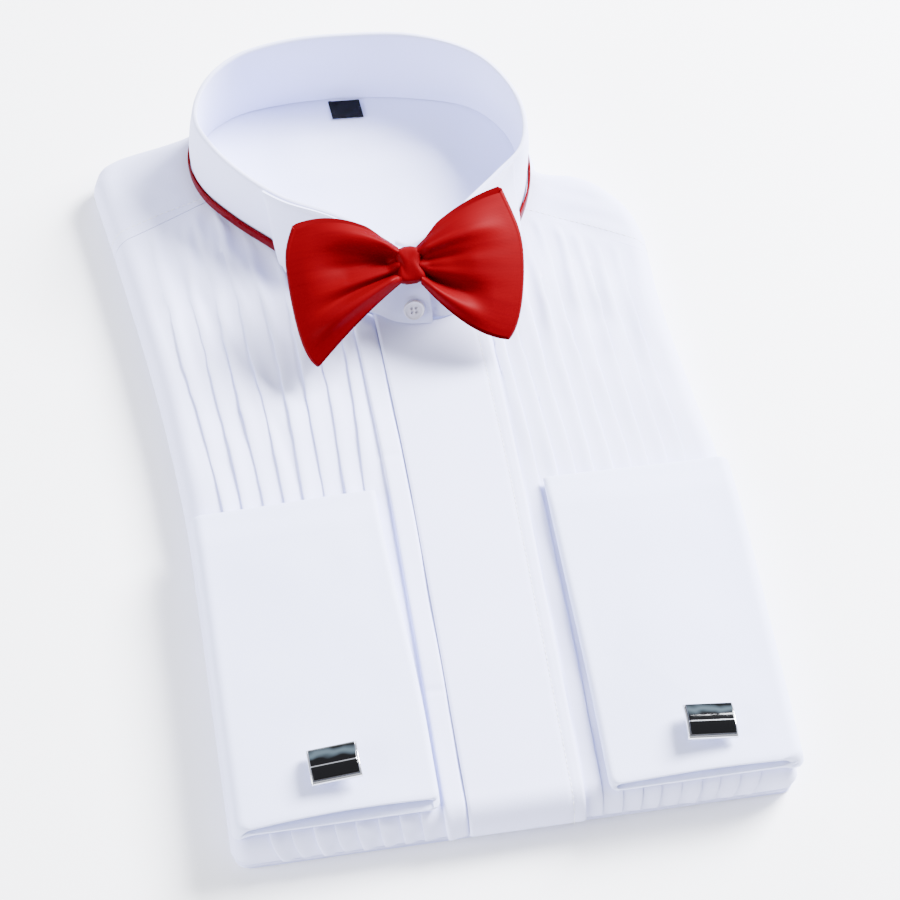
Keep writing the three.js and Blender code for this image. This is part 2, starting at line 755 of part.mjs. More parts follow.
function collarWing(side) {
  const rows = WING_ROWS[side];
  const columns = 12;
  const downSteps = 7;
  const startLift = STAND_WALL / 2 + CLEARANCE * 1.3;
  const tipLift = 5.2;
  const grid = Array.from({ length: columns + 1 }, (unused, column) => {
    const position = column / columns * (rows.length - 1);
    const low = Math.min(Math.floor(position), rows.length - 2);
    const part = position - low;
    const share = lerp(rows[low].share, rows[low + 1].share, part);
    const drop = lerp(rows[low].drop, rows[low + 1].drop, part);
    return Array.from({ length: downSteps + 1 }, (ignored, step) => {
      const down = step / downSteps;
      const skew = (side === 'left' ? 1 : -1) * WING_SKEW * down * (1 - column / columns);
      const lift = startLift + tipLift * smoothstep(down, 0.15, 1);
      const height = 1.005 - drop * down;
      const point = standPoint(share + skew, height, overlapDepth(share + skew) + lift);
      const floorZ = skinZ(point.x, point.y) + PANEL_TOP + PLEAT_HEIGHT + 1.2;
      point.z = Math.max(point.z, floorZ);
      return point;
    });
  });
  const normals = gridNormals(grid);
  const facing = side === 'left' ? 1 : -1;
  return clothWall(grid, normals.map((line) => line.map((normal) => (
    normal.multiplyScalar(facing)))), 0, WING_WALL);
}

function collarButton() {
  const radius = 4.6;
  const thickness = 2;
  const profile = [
    new THREE.Vector2(0, 0),
    new THREE.Vector2(radius * 0.8, 0),
    new THREE.Vector2(radius, thickness * 0.4),
    new THREE.Vector2(radius * 0.94, thickness),
    new THREE.Vector2(radius * 0.6, thickness * 0.8),
    new THREE.Vector2(0, thickness * 0.8),
  ];
  const geometry = new THREE.LatheGeometry(profile, 20);
  return BufferGeometryUtils.mergeVertices(stripped(geometry), 1e-3);
}

function stripped(geometry) {
  const copy = geometry.clone();
  copy.deleteAttribute('normal');
  copy.deleteAttribute('uv');
  return copy;
}

function neckLabel() {
  const length = 14;
  const width = 10;
  const centre = new THREE.Vector2(-17.3, 190);
  const turn = THREE.MathUtils.degToRad(-8);
  const steps = [-0.5, 0, 0.5];
  const grid = (height) => steps.map((along) => steps.map((across) => {
    const flat = new THREE.Vector2(across * length, along * width)
      .rotateAround(new THREE.Vector2(), turn).add(centre);
    return new THREE.Vector3(flat.x, flat.y, neckZ(flat.x, flat.y) + PANEL_TOP + height);
  }));
  return wallGeometry(grid(CLEARANCE + 0.7), grid(CLEARANCE));
}

// Cuffs: a flattened tube each, open at the mouth and draped over the side of the body

const CUFF_SHAPE = {
  left: {
    innerTopX: -34, innerMouthX: -29.6, overhang: 0.6, lens: 2, setBackInner: 2.8, setBackOuter: 0,
  },
  right: {
    innerTopX: 36.2, innerMouthX: 37.8, overhang: 3.8, lens: 1.1, setBackInner: 0.8, setBackOuter: 1,
  },
};
// Places across a cuff, as shares of its width from the outer fold inwards
const CUFF_ACROSS = [0, 0.016, 0.04, 0.075, 0.16, 0.28, 0.4, 0.52, 0.64, 0.76, 0.88, 1];

function cuffStation(side, y) {
  return clamp((y - CUFF_TOP_Y[side]) / (CUFF_MOUTH_Y[side] - CUFF_TOP_Y[side]), 0, 1);
}

// Outer and inner edge of a cuff in plan
function cuffEdges(side, y) {
  const shape = CUFF_SHAPE[side];
  const sign = side === 'left' ? -1 : 1;
  return {
    outer: lean(y) + sign * (halfWidthAt(y, side, false) + shape.overhang),
    inner: lerp(shape.innerTopX, shape.innerMouthX, smoothstep(cuffStation(side, y), 0, 0.8)),
  };
}

// Height that a cuff rests at: it is draped over the panel and bends down towards the side fold
function cuffRestZ(x, y, fromEdge) {
  const inset = clamp((fromEdge + 1) / FOLD_REACH, 0, 1);
  const arc = Math.sqrt(1 - (1 - inset) ** 2);
  const crown = neckZ(x, y) - TOP_Z;
  return FOLD_MIDDLE_Z + (TOP_Z - FOLD_MIDDLE_Z) * arc + crown + CUFF_LIFT;
}

function cuffThickness(side, y, share) {
  const station = cuffStation(side, y);
  const { closed, open, softness } = CUFF_THICKNESS;
  const across = Math.sin(Math.PI * share);
  const swell = CUFF_SHAPE[side].lens * smoothstep(station, 0.55, 1) * across;
  return lerp(closed, open, smoothstep(station, 0, 0.12)) + swell
    + softness * across * Math.sin(Math.PI * station);
}

function cuff(side) {
  const shape = CUFF_SHAPE[side];
  const stations = [0, 0.04, 0.12, 0.28, 0.46, 0.64, 0.82, 0.94, 1];
  const hollowStations = [1, 0.94, 0.82, 0.64, 0.46, 0.28, 0.14];
  const last = CUFF_ACROSS.length - 1;
  const ringAt = (station, wall) => {
    const rowY = lerp(CUFF_TOP_Y[side], CUFF_MOUTH_Y[side], station);
    const rounding = wall > 0 ? CUFF_ROUNDING.hollow : CUFF_ROUNDING.edge;
    const pointAt = (index, top) => {
      const share = CUFF_ACROSS[index];
      const bowed = shape.lens * 0.4 * Math.sin(Math.PI * share);
      const setBack = lerp(shape.setBackOuter, shape.setBackInner, share) + bowed;
      const y = rowY + (top ? setBack * smoothstep(station, 0.82, 1) : 0);
      const { outer, inner } = cuffEdges(side, y);
      const width = Math.abs(inner - outer);
      const fromEdge = lerp(wall, width - wall, share);
      const x = lerp(outer, inner, fromEdge / width);
      const rounded = index === 0 || index === last ? rounding : 0;
      const height = top ? cuffThickness(side, y, share) - wall - rounded : wall + rounded * 0.6;
      return new THREE.Vector3(x, y, cuffRestZ(x, y, fromEdge) + height);
    };
    const bottom = CUFF_ACROSS.map((unused, index) => pointAt(index, false));
    const top = CUFF_ACROSS.map((unused, index) => pointAt(index, true)).reverse();
    return [...bottom, ...top];
  };
  const outer = stations.map((station) => ringAt(station, 0));
  const hollow = hollowStations.map((station) => ringAt(station, CUFF_WALL));
  return ringsGeometry([...outer, ...hollow]);
}

// Cufflinks

const LINKS = {
  left: { x: -68.7, y: -144.3, turn: 1.6, tip: -4.7 },
  right: { x: 80.7, y: -148.4, turn: -1.8, tip: 8 },
};

function cuffTopZ(side, x, y) {
  const { outer, inner } = cuffEdges(side, y);
  const fromEdge = Math.abs(x - outer);
  return cuffRestZ(x, y, fromEdge) + cuffThickness(side, y, fromEdge / Math.abs(inner - outer));
}

function curvedPlate(length, height, thickness, dropAtEdge, base) {
  const steps = 8;
  const grid = (level) => Array.from({ length: steps + 1 }, (unused, row) => (
    [-0.5, 0.5].map((across) => {
      const along = row / steps - 0.5;
      const z = base + level - dropAtEdge * (2 * along) ** 2;
      return new THREE.Vector3(across * length, along * height, z);
    })));
  return wallGeometry(grid(thickness), grid(0));
}

function placeLink(mesh, side) {
  const { x, y, turn, tip } = LINKS[side];
  mesh.position.set(x, y, cuffTopZ(side, x, y));
  mesh.rotation.set(0, THREE.MathUtils.degToRad(tip), THREE.MathUtils.degToRad(turn), 'ZYX');
  return mesh;
}

// Bow tie

const BOW_WINGS = {
  left: {
    sign: -1,
    knotTop: 7.5,
    knotBottom: -6.5,
    outer: [
      { across: -1, x: -43.5, y: -36.5 },
      { across: -0.5, x: -49.3, y: -21 },
      { across: 0, x: -50.7, y: -3 },
      { across: 0.5, x: -50.3, y: 9.5 },
      { across: 1, x: -45.8, y: 21 },
    ],
    bulgeTop: 6.2,
    bulgeBottom: 1.5,
  },
  right: {
    sign: 1,
    knotTop: 7,
    knotBottom: -8,
    outer: [
      { across: -1, x: 37, y: -35.5 },
      { across: -0.5, x: 44.5, y: -20 },
      { across: 0, x: 47.5, y: -3 },
      { across: 0.5, x: 47.2, y: 9.5 },
      { across: 1, x: 42.6, y: 26 },
    ],
    bulgeTop: 3,
    bulgeBottom: -5,
  },
};
const KNOT_HALF_WIDTH = 6.2;
const KNOT_FLARE = 1.12;

function bowToShirt(x, y, depth) {
  const cos = Math.cos(BOW_TILT);
  const sin = Math.sin(BOW_TILT);
  return new THREE.Vector3(
    BOW_CENTRE.x + x,
    BOW_CENTRE.y + y * cos - depth * sin,
    BOW_CENTRE.z + y * sin + depth * cos,
  );
}

function bowWing(side) {
  const wing = BOW_WINGS[side];
  const stations = [0, 0.1, 0.22, 0.36, 0.52, 0.68, 0.84, 0.96];
  const acrossSteps = 11;
  const sheet = (reach, across, layer) => {
    const outerX = tableValue(wing.outer, 'across', 'x', across);
    const outerY = tableValue(wing.outer, 'across', 'y', across);
    const knotX = wing.sign * (KNOT_HALF_WIDTH * KNOT_FLARE + CLEARANCE);
    const knotY = lerp(wing.knotBottom, wing.knotTop, (across + 1) / 2);
    const hump = 4 * reach * (1 - reach);
    const bulge = across > 0 ? wing.bulgeTop * across : -wing.bulgeBottom * across;
    const spread = layer < 0 ? 1.03 : 1;
    const x = lerp(knotX, outerX, reach);
    const y = lerp(knotY, outerY, reach) * spread + hump * bulge;
    const gather = (1 - reach) ** 1.6;
    const ripple = 2.1 * gather * Math.cos(2.5 * Math.PI * across + 0.4);
    const belly = 3.2 * Math.sin(Math.PI * Math.min(1, reach * 1.05)) * (1 - 0.5 * across * across);
    const bend = -1.5 * reach * reach * across * across;
    const gap = BOW_LAYER_GAP / 2 + 1.1 * hump;
    return { x, y, depth: layer * gap + (layer > 0 ? ripple + belly : ripple * 0.5 - belly * 0.1) + bend };
  };
  const fold = (across, turn) => {
    const edge = sheet(1, across, 1);
    const back = sheet(1, across, -1);
    const radius = (edge.depth - back.depth) / 2;
    const middle = (edge.depth + back.depth) / 2;
    const out = wing.sign * Math.sin(turn * Math.PI) * radius;
    const depth = middle + Math.cos(turn * Math.PI) * radius;
    return { x: edge.x + out, y: lerp(edge.y, back.y, turn), depth };
  };
  const path = [
    ...stations.map((reach) => (across) => sheet(reach, across, 1)),
    ...[0.15, 0.5, 0.85].map((turn) => (across) => fold(across, turn)),
    ...[...stations].reverse().map((reach) => (across) => sheet(reach, across, -1)),
  ];
  const grid = path.map((place) => Array.from({ length: acrossSteps + 1 }, (unused, index) => {
    const { x, y, depth } = place(lerp(-1, 1, index / acrossSteps));
    return bowToShirt(x, y, depth);
  }));
  const normals = gridNormals(grid);
  const half = SATIN_WALL / 2;
  const offset = (amount) => grid.map((line, row) => line.map((point, column) => (
    point.clone().addScaledVector(normals[row][column], amount))));
  return wallGeometry(offset(half), offset(-half));
}

function bowKnot() {
  const sections = 9;
  const around = 16;
  const rings = Array.from({ length: sections }, (unused, index) => {
    const along = index / (sections - 1) * 2 - 1;
    const pinch = 1 - 0.12 * Math.cos(along * Math.PI);
    const endRound = Math.sqrt(Math.max(0.12, 1 - along ** 6));
    return Array.from({ length: around }, (ignored, step) => {
      const angle = step / around * Math.PI * 2;
      const x = KNOT_HALF_WIDTH * KNOT_FLARE * pinch * Math.cos(angle) * endRound;
      const depth = 5.2 * Math.sin(angle) * endRound;
      return bowToShirt(x, along * 8.8, depth + 0.4);
    });
  });
  return ringsGeometry(rings);
}

function bowBand() {
  const sections = 64;
  const height = 5.6;
  const innerDepth = STAND_WALL / 2 + 0.6;
  const thickness = 1.1;
  const loops = [];
  for (let index = 0; index < sections; index += 1) {
    const share = index / sections;
    const fromFront = Math.min(share, 1 - share);
    const standHeight = standFoot(share).distanceTo(rimCurve.getPoint(share));
    const raised = 0.6 + BAND_RISE * (1 - smoothstep(fromFront, 0.018, 0.052));
    const low = raised / standHeight;
    const high = (raised + height) / standHeight;
    const extra = (STAND_WALL / 2 + 0.3) * clamp((0.085 - fromFront) / 0.03, 0, 1);
    loops.push([
      standPoint(share, low, innerDepth + extra),
      standPoint(share, low, innerDepth + extra + thickness),
      standPoint(share, high, innerDepth + extra + thickness),
      standPoint(share, high, innerDepth + extra),
    ]);
  }
  const points = loops.flat();
  const triangles = [];
  loops.forEach((loop, index) => {
    const next = (index + 1) % sections;
    loop.forEach((point, corner) => {
      const after = (corner + 1) % 4;
      splitQuad(points, triangles, index * 4 + corner, index * 4 + after,
        next * 4 + after, next * 4 + corner);
    });
  });
  return meshGeometry(points, outward(points, triangles));
}

// Assembly

const garment = new THREE.Group();
garment.position.set(-BBOX_CENTRE_X, -BBOX_CENTRE_Y, 0);

function addPiece(name, geometry, colour, roughness = 0.85, metalness = 0) {
  const material = new THREE.MeshStandardMaterial({ color: colour, roughness, metalness });
  const mesh = new THREE.Mesh(geometry, material);
  mesh.name = name;
  garment.add(mesh);
  return mesh;
}

function toManifold(geometry) {
  const merged = BufferGeometryUtils.mergeVertices(stripped(geometry), 1e-4);
  return new wasm.Manifold(new wasm.Mesh({
    numProp: 3,
    vertProperties: new Float32Array(merged.attributes.position.array),
    triVerts: new Uint32Array(merged.index.array),
  }));
}

function fromManifold(solid) {
  const mesh = solid.getMesh();
  const geometry = new THREE.BufferGeometry();
  geometry.setAttribute('position', new THREE.BufferAttribute(new Float32Array(mesh.vertProperties), 3));
  geometry.setIndex([...mesh.triVerts]);
  return geometry;
}

function cutButtonhole(geometry, side) {
  const { x, y, turn } = LINKS[side];
  const slot = new THREE.BoxGeometry(9, 3.4, 6);
  slot.rotateZ(THREE.MathUtils.degToRad(turn));
  slot.translate(x, y, cuffTopZ(side, x, y) - 0.5);
  return fromManifold(toManifold(geometry).subtract(toManifold(slot)));
}

addPiece('folded_body', foldedBody(), COLOURS.cloth);
addPiece('front_left', frontPanel('left'), COLOURS.cloth);
addPiece('front_right', frontPanel('right'), COLOURS.cloth);
addPiece('fly_placket', flyPlacket(), COLOURS.cloth);
addPiece('yoke', yoke(), COLOURS.cloth);
addPiece('back_neck_inside', backNeckInside(), COLOURS.cloth);
addPiece('collar_stand', collarStand(), COLOURS.cloth);
addPiece('collar_wing_left', collarWing('left'), COLOURS.cloth);
addPiece('collar_wing_right', collarWing('right'), COLOURS.cloth);
addPiece('neck_label', neckLabel(), COLOURS.label, 0.7);

const button = addPiece('collar_button', collarButton(), COLOURS.button, 0.3);
const buttonSeat = standPoint(0, 0.24, STAND_WALL + 0.2 + 0.35 + 0.35);
const buttonUp = standPoint(0, 0.4, 0).sub(standPoint(0, 0.28, 0)).normalize();
const buttonFace = new THREE.Vector3(1, 0, 0).cross(buttonUp).normalize();
button.position.copy(buttonSeat);
button.quaternion.setFromUnitVectors(new THREE.Vector3(0, 1, 0), buttonFace);

['left', 'right'].forEach((side) => {
  addPiece(`cuff_${side}`, cutButtonhole(cuff(side), side), COLOURS.cuff);
  const faceShare = (LINK_HEIGHT - 2 * LINK_RIM) / LINK_HEIGHT;
  const faceDrop = LINK_CURVE_DROP * faceShare ** 2;
  const face = curvedPlate(LINK_LENGTH - 2 * LINK_RIM, LINK_HEIGHT * faceShare, 1, faceDrop, 7.4);
  placeLink(addPiece(`link_${side}_face`, face, COLOURS.enamel, 0.08), side);
  const tray = curvedPlate(LINK_LENGTH, LINK_HEIGHT, 1.6, LINK_CURVE_DROP, 5.45);
  placeLink(addPiece(`link_${side}_tray`, tray, COLOURS.silver, 0.15, 1), side);
  const post = new THREE.CylinderGeometry(1.3, 1.3, 6.5, 12);
  post.rotateX(Math.PI / 2);
  post.translate(0, 0, 1.75);
  placeLink(addPiece(`link_${side}_post`, post, COLOURS.silver, 0.15, 1), side);
});

addPiece('bow_wing_left', bowWing('left'), COLOURS.satin, 0.35);
addPiece('bow_wing_right', bowWing('right'), COLOURS.satin, 0.35);
addPiece('bow_knot', bowKnot(), COLOURS.satin, 0.35);
addPiece('bow_band', bowBand(), COLOURS.satin, 0.35);

export default garment;
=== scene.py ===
"""A folded white evening shirt with a red bow tie and dark cufflinks, dressed over its CAD frame.

Sizes are millimetres in the cutting plan: x to the right, y from the hem fold to the collar, z up.
PLAN_ORIGIN moves the plan to the frame, and every finished mesh is in metres.
"""

import logging
import math
from dataclasses import dataclass, field
from enum import Enum
from typing import Callable, Optional, Sequence

import bpy
import numpy as np
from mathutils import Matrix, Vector


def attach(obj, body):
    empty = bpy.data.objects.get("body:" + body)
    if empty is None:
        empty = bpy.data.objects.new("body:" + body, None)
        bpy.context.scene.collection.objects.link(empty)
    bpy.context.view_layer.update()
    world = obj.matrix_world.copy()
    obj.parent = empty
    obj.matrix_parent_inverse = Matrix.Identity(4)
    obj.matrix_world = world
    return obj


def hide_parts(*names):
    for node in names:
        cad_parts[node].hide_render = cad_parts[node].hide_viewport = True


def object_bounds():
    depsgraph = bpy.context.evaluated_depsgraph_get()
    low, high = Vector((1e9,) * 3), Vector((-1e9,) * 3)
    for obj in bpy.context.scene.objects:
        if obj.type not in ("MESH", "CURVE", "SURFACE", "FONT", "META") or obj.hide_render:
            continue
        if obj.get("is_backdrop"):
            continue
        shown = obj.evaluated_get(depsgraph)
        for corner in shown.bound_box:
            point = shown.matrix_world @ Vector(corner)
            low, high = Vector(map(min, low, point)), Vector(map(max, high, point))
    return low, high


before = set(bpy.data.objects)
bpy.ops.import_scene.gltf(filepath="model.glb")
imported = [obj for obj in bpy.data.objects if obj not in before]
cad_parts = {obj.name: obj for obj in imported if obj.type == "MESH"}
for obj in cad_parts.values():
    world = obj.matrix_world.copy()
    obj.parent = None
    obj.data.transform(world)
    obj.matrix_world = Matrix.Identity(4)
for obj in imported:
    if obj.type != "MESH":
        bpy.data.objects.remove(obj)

LOG = logging.getLogger("evening_shirt")
MM = 0.001
PLAN_ORIGIN = np.array([-8.37, 19.28, 0.0])

# Walls and clearances of the cloth, as in the solids
CLEARANCE = 0.45
PANEL_WALL = 1.4
PLACKET_WALL = 1.5
CUFF_WALL = 1.9
STAND_WALL = 2.4
WING_WALL = 1.5
SATIN_WALL = 1.2
PANEL_TOP = CLEARANCE + PANEL_WALL

# The least side that a logged cut is given, in metres; the neck band's ribbon is narrower
LEAST_CUT = 0.0101


class Side(Enum):
    """Which half of the front a piece is on, as it is seen with the front up."""

    LEFT = "left"
    RIGHT = "right"

    @property
    def sign(self) -> int:
        """Direction of this half along x."""
        return -1 if self is Side.LEFT else 1


def smoothstep(value: np.ndarray, low: float, high: float) -> np.ndarray:
    """Rises smoothly from 0 at low to 1 at high."""
    share = np.clip((np.asarray(value, float) - low) / (high - low), 0.0, 1.0)
    return share * share * (3.0 - 2.0 * share)


def lerp(start: np.ndarray, end: np.ndarray, share: np.ndarray) -> np.ndarray:
    """Goes from start to end by a share."""
    return start + (end - start) * share


def unit(vectors: np.ndarray) -> np.ndarray:
    """Vectors of length one along the last axis."""
    length = np.linalg.norm(vectors, axis=-1, keepdims=True)
    return vectors / np.maximum(length, 1e-9)


def closed_curve(points: np.ndarray, shares: np.ndarray) -> np.ndarray:
    """Points on a closed centripetal Catmull-Rom curve.

    Args:
        points: the curve's own points, one a row.
        shares: places along it, each from 0 to 1.

    Returns:
        One point for each share.
    """
    count = len(points)
    place = (np.asarray(shares, float) % 1.0) * count
    index = np.floor(place).astype(int)
    part = (place - index)[..., None]
    before, start, end, after = (points[(index + step) % count] for step in (-1, 0, 1, 2))
    gaps = [
        np.maximum(np.sqrt(np.linalg.norm(b - a, axis=-1, keepdims=True)), 1e-6)
        for a, b in ((before, start), (start, end), (end, after))
    ]
    leave = (start - before) / gaps[0] - (end - before) / (gaps[0] + gaps[1]) + (end - start) / gaps[1]
    arrive = (end - start) / gaps[1] - (after - start) / (gaps[1] + gaps[2]) + (after - end) / gaps[2]
    leave, arrive = leave * gaps[1], arrive * gaps[1]
    return (
        start
        + leave * part
        + (3 * (end - start) - 2 * leave - arrive) * part**2
        + (2 * (start - end) + leave + arrive) * part**3
    )


@dataclass(frozen=True)
class Crease:
    """A soft fold in a cloth: its two ends in plan, its half width, and its height (a hollow if below 0).

    steep is how much narrower the fold is on its left than on its right, seen from its first end.
    """

    x0: float
    y0: float
    x1: float
    y1: float
    width: float
    height: float
    steep: float = 1.0

    def lift(self, x: np.ndarray, y: np.ndarray) -> np.ndarray:
        """Height that the fold adds at plan points."""
        run = np.array([self.x1 - self.x0, self.y1 - self.y0])
        length = float(np.hypot(*run))
        run = run / length
        along = ((x - self.x0) * run[0] + (y - self.y0) * run[1]) / length
        across = (x - self.x0) * -run[1] + (y - self.y0) * run[0]
        width = np.where(across > 0, self.width / self.steep, self.width)
        taper = smoothstep(along, -0.12, 0.3) * (1.0 - smoothstep(along, 0.6, 1.12))
        return self.height * np.exp(-((across / width) ** 2)) * taper


def lift_all(creases: Sequence[Crease], x: np.ndarray, y: np.ndarray) -> np.ndarray:
    """Height that all these folds add at plan points."""
    total = np.zeros_like(np.asarray(x, float))
    for crease in creases:
        total = total + crease.lift(x, y)
    return total


def unevenness(x: np.ndarray, y: np.ndarray, seed: int, pitch: float, height: float) -> np.ndarray:
    """Gentle waves of pressed cloth, from a few crossing sines.

    Args:
        x, y: plan points.
        seed: which waves.
        pitch: about how far apart they are, in millimetres.
        height: their greatest height, in millimetres.

    Returns:
        Height at each point.
    """
    random = np.random.default_rng(seed)
    total = np.zeros_like(np.asarray(x, float))
    for _ in range(6):
        angle = random.uniform(0, math.tau)
        wave = math.tau / (pitch * random.uniform(0.7, 1.6))
        total = total + np.sin(wave * (x * math.cos(angle) + y * math.sin(angle)) + random.uniform(0, math.tau))
    return total * height / 6.0


# Half of the folded width on its own line of lean: y, left, right
WIDTH_ROWS = np.array([
    (-170, 112.2, 113.6), (-60, 111.6, 113), (-8, 111.6, 111.6), (10, 111.6, 109.9), (32, 111.6, 108.9),
    (53, 111.7, 108.4), (75, 111.9, 109), (98, 112.2, 111.5), (160, 112.8, 112.8),
])

# Back edge of the folded body from its right shoulder over the neck to its left shoulder: x, y
TOP_EDGE = np.array([
    (102, 104), (100.6, 112), (97.5, 121), (91.5, 130), (84.5, 137), (76, 141.5), (67, 143.5), (61.5, 147),
    (60.5, 155), (58.5, 164.5), (53, 175), (44, 185.5), (32, 195), (18, 202), (2, 206.5), (-15, 208.5),
    (-32, 208.5), (-49, 206.5), (-65, 202.5), (-79, 195.5), (-90, 189.5), (-102, 186), (-114, 183.5),
    (-123, 181), (-129.5, 177), (-132.3, 170),
], float)


@dataclass(frozen=True)
class FoldForm:
    """The folded block of hidden layers that the visible cloth lies on."""

    bottom_y: float = -168.0
    lean_from_y: float = -20.0
    lean_span: float = 192.0
    lean_depth: float = 20.0
    corner_radius: float = 5.0
    reach: float = 6.5
    middle_z: float = 8.0
    top_z: float = 18.0
    crown: float = 2.0
    crown_reach: float = 70.0
    half_width: float = 113.0

    def lean(self, y: np.ndarray) -> np.ndarray:
        """How far the shirt leans to its left at this y."""
        beyond = np.maximum(0.0, np.asarray(y, float) - self.lean_from_y) / self.lean_span
        return -self.lean_depth * beyond**1.5

    def edge_x(self, y: np.ndarray, side: Side, rounded: bool = True) -> np.ndarray:
        """Where the side fold is at this y."""
        column = 1 if side is Side.LEFT else 2
        width = np.interp(y, WIDTH_ROWS[:, 0], WIDTH_ROWS[:, column])
        near = np.clip((np.asarray(y, float) - self.bottom_y) / self.corner_radius, 0.0, 1.0)
        corner = self.corner_radius * (1.0 - np.sqrt(1.0 - (1.0 - near) ** 2))
        return self.lean(y) + side.sign * (width - (corner if rounded else 0.0))

    def outline(self) -> np.ndarray:
        """The plan outline once round, anticlockwise from the left end of the bottom fold."""
        ends = [float(self.edge_x(np.array(self.bottom_y), side)) for side in Side]
        bottom = np.stack([np.linspace(*ends, 40), np.full(40, self.bottom_y)], axis=1)
        corner = self.bottom_y + self.corner_radius * (1 - np.cos(np.linspace(0.15, 1.0, 7) * math.pi / 2))
        right_y = np.concatenate([corner, np.linspace(corner[-1] + 4, 97, 50)])
        left_y = np.concatenate([corner, np.linspace(corner[-1] + 4, 162, 60)])[::-1]
        right = np.stack([self.edge_x(right_y, Side.RIGHT), right_y], axis=1)
        left = np.stack([self.edge_x(left_y, Side.LEFT), left_y], axis=1)
        rows = len(TOP_EDGE)
        shares = np.linspace(0, (rows - 1) / rows, (rows - 1) * 5 + 1)
        top = closed_curve(TOP_EDGE, shares)
        top[:5], top[-5:] = lerp(TOP_EDGE[0], TOP_EDGE[1], np.linspace(0, 0.8, 5)[:, None]), lerp(
            TOP_EDGE[-2], TOP_EDGE[-1], np.linspace(0.2, 1, 5)[:, None])
        return np.concatenate([bottom, right, top, left])

    def nearest(self, x: np.ndarray, y: np.ndarray) -> tuple[np.ndarray, np.ndarray]:
        """Distance to the outline, and the unit direction out to it, for plan points inside it."""
        line = self.outline()
        start, end = line, np.roll(line, -1, axis=0)
        run = end - start
        squared = np.maximum((run**2).sum(1), 1e-9)
        flat = np.stack([np.ravel(x), np.ravel(y)], axis=1).astype(float)
        least = np.full(len(flat), np.inf)
        way = np.zeros((len(flat), 2))
        for index in range(len(line)):
            share = np.clip(((flat - start[index]) @ run[index]) / squared[index], 0.0, 1.0)
            gap = start[index] + share[:, None] * run[index] - flat
            distance = np.hypot(gap[:, 0], gap[:, 1])
            closer = distance < least
            least = np.where(closer, distance, least)
            side_way = np.array([run[index][1], -run[index][0]]) / math.sqrt(squared[index])
            direction = np.where(distance[:, None] > 0.05, gap / np.maximum(distance, 1e-6)[:, None], side_way)
            way = np.where(closer[:, None], direction, way)
        shape = np.shape(x)
        return least.reshape(shape), way.reshape((*shape, 2))

    def skin(self, x: np.ndarray, y: np.ndarray) -> tuple[np.ndarray, np.ndarray]:
        """Points and normals of the skin that the panels lie on, over plan points."""
        distance, way = self.nearest(x, y)
        turn = 1.0 - np.clip(distance / self.reach, 0.0, 1.0)
        arc = np.sqrt(np.maximum(0.0, 1.0 - turn**2))
        height = self.top_z - self.middle_z
        share = (x - self.lean(y)) / self.half_width
        crown = self.crown * smoothstep(distance, self.reach * 0.5, self.crown_reach) * (1 - 0.3 * share**2)
        points = np.stack([x, y, self.middle_z + height * arc + crown], axis=-1)
        normals = unit(np.concatenate([way * (turn / self.reach)[..., None], (arc / height)[..., None]], axis=-1))
        return points, normals

    def flat_z(self, x: np.ndarray, y: np.ndarray) -> np.ndarray:
        """Height of the cloth inside the neck, flat right up to the edge's fold."""
        distance, _ = self.nearest(x, y)
        share = (x - self.lean(y)) / self.half_width
        inwards = smoothstep(distance, self.reach * 0.5, self.crown_reach)
        return self.top_z + self.crown * inwards * (1 - 0.3 * share**2)


FORM = FoldForm()

# Neck seam and collar rim from the front middle to the right and round: seam x, y, rim x, y, z
COLLAR_ROWS = np.array([
    (-4, 69.5, -4, 88.5, 51.5), (13, 71, 11, 95, 52.5), (31, 89, 24.5, 107, 54), (45, 112, 40, 119.5, 55.5),
    (53, 131, 52, 130.5, 57), (55.5, 150, 55.5, 146.5, 58.5), (51.5, 168, 51.5, 164.5, 59.5),
    (38.5, 184, 39.5, 182.5, 60), (13, 193.5, 14.5, 196, 60.5), (-15, 198, -14.5, 200.5, 61),
    (-43, 199, -43, 201, 61), (-68, 195, -66, 196, 60), (-83, 184, -80, 184, 59), (-88, 168, -86, 167, 57.5),
    (-84.5, 151, -80.5, 152, 56), (-73, 134.5, -68.5, 135, 55), (-56, 116, -53, 120.5, 54),
    (-38, 94, -34, 110, 53), (-20, 76, -17, 97.5, 52),
], float)


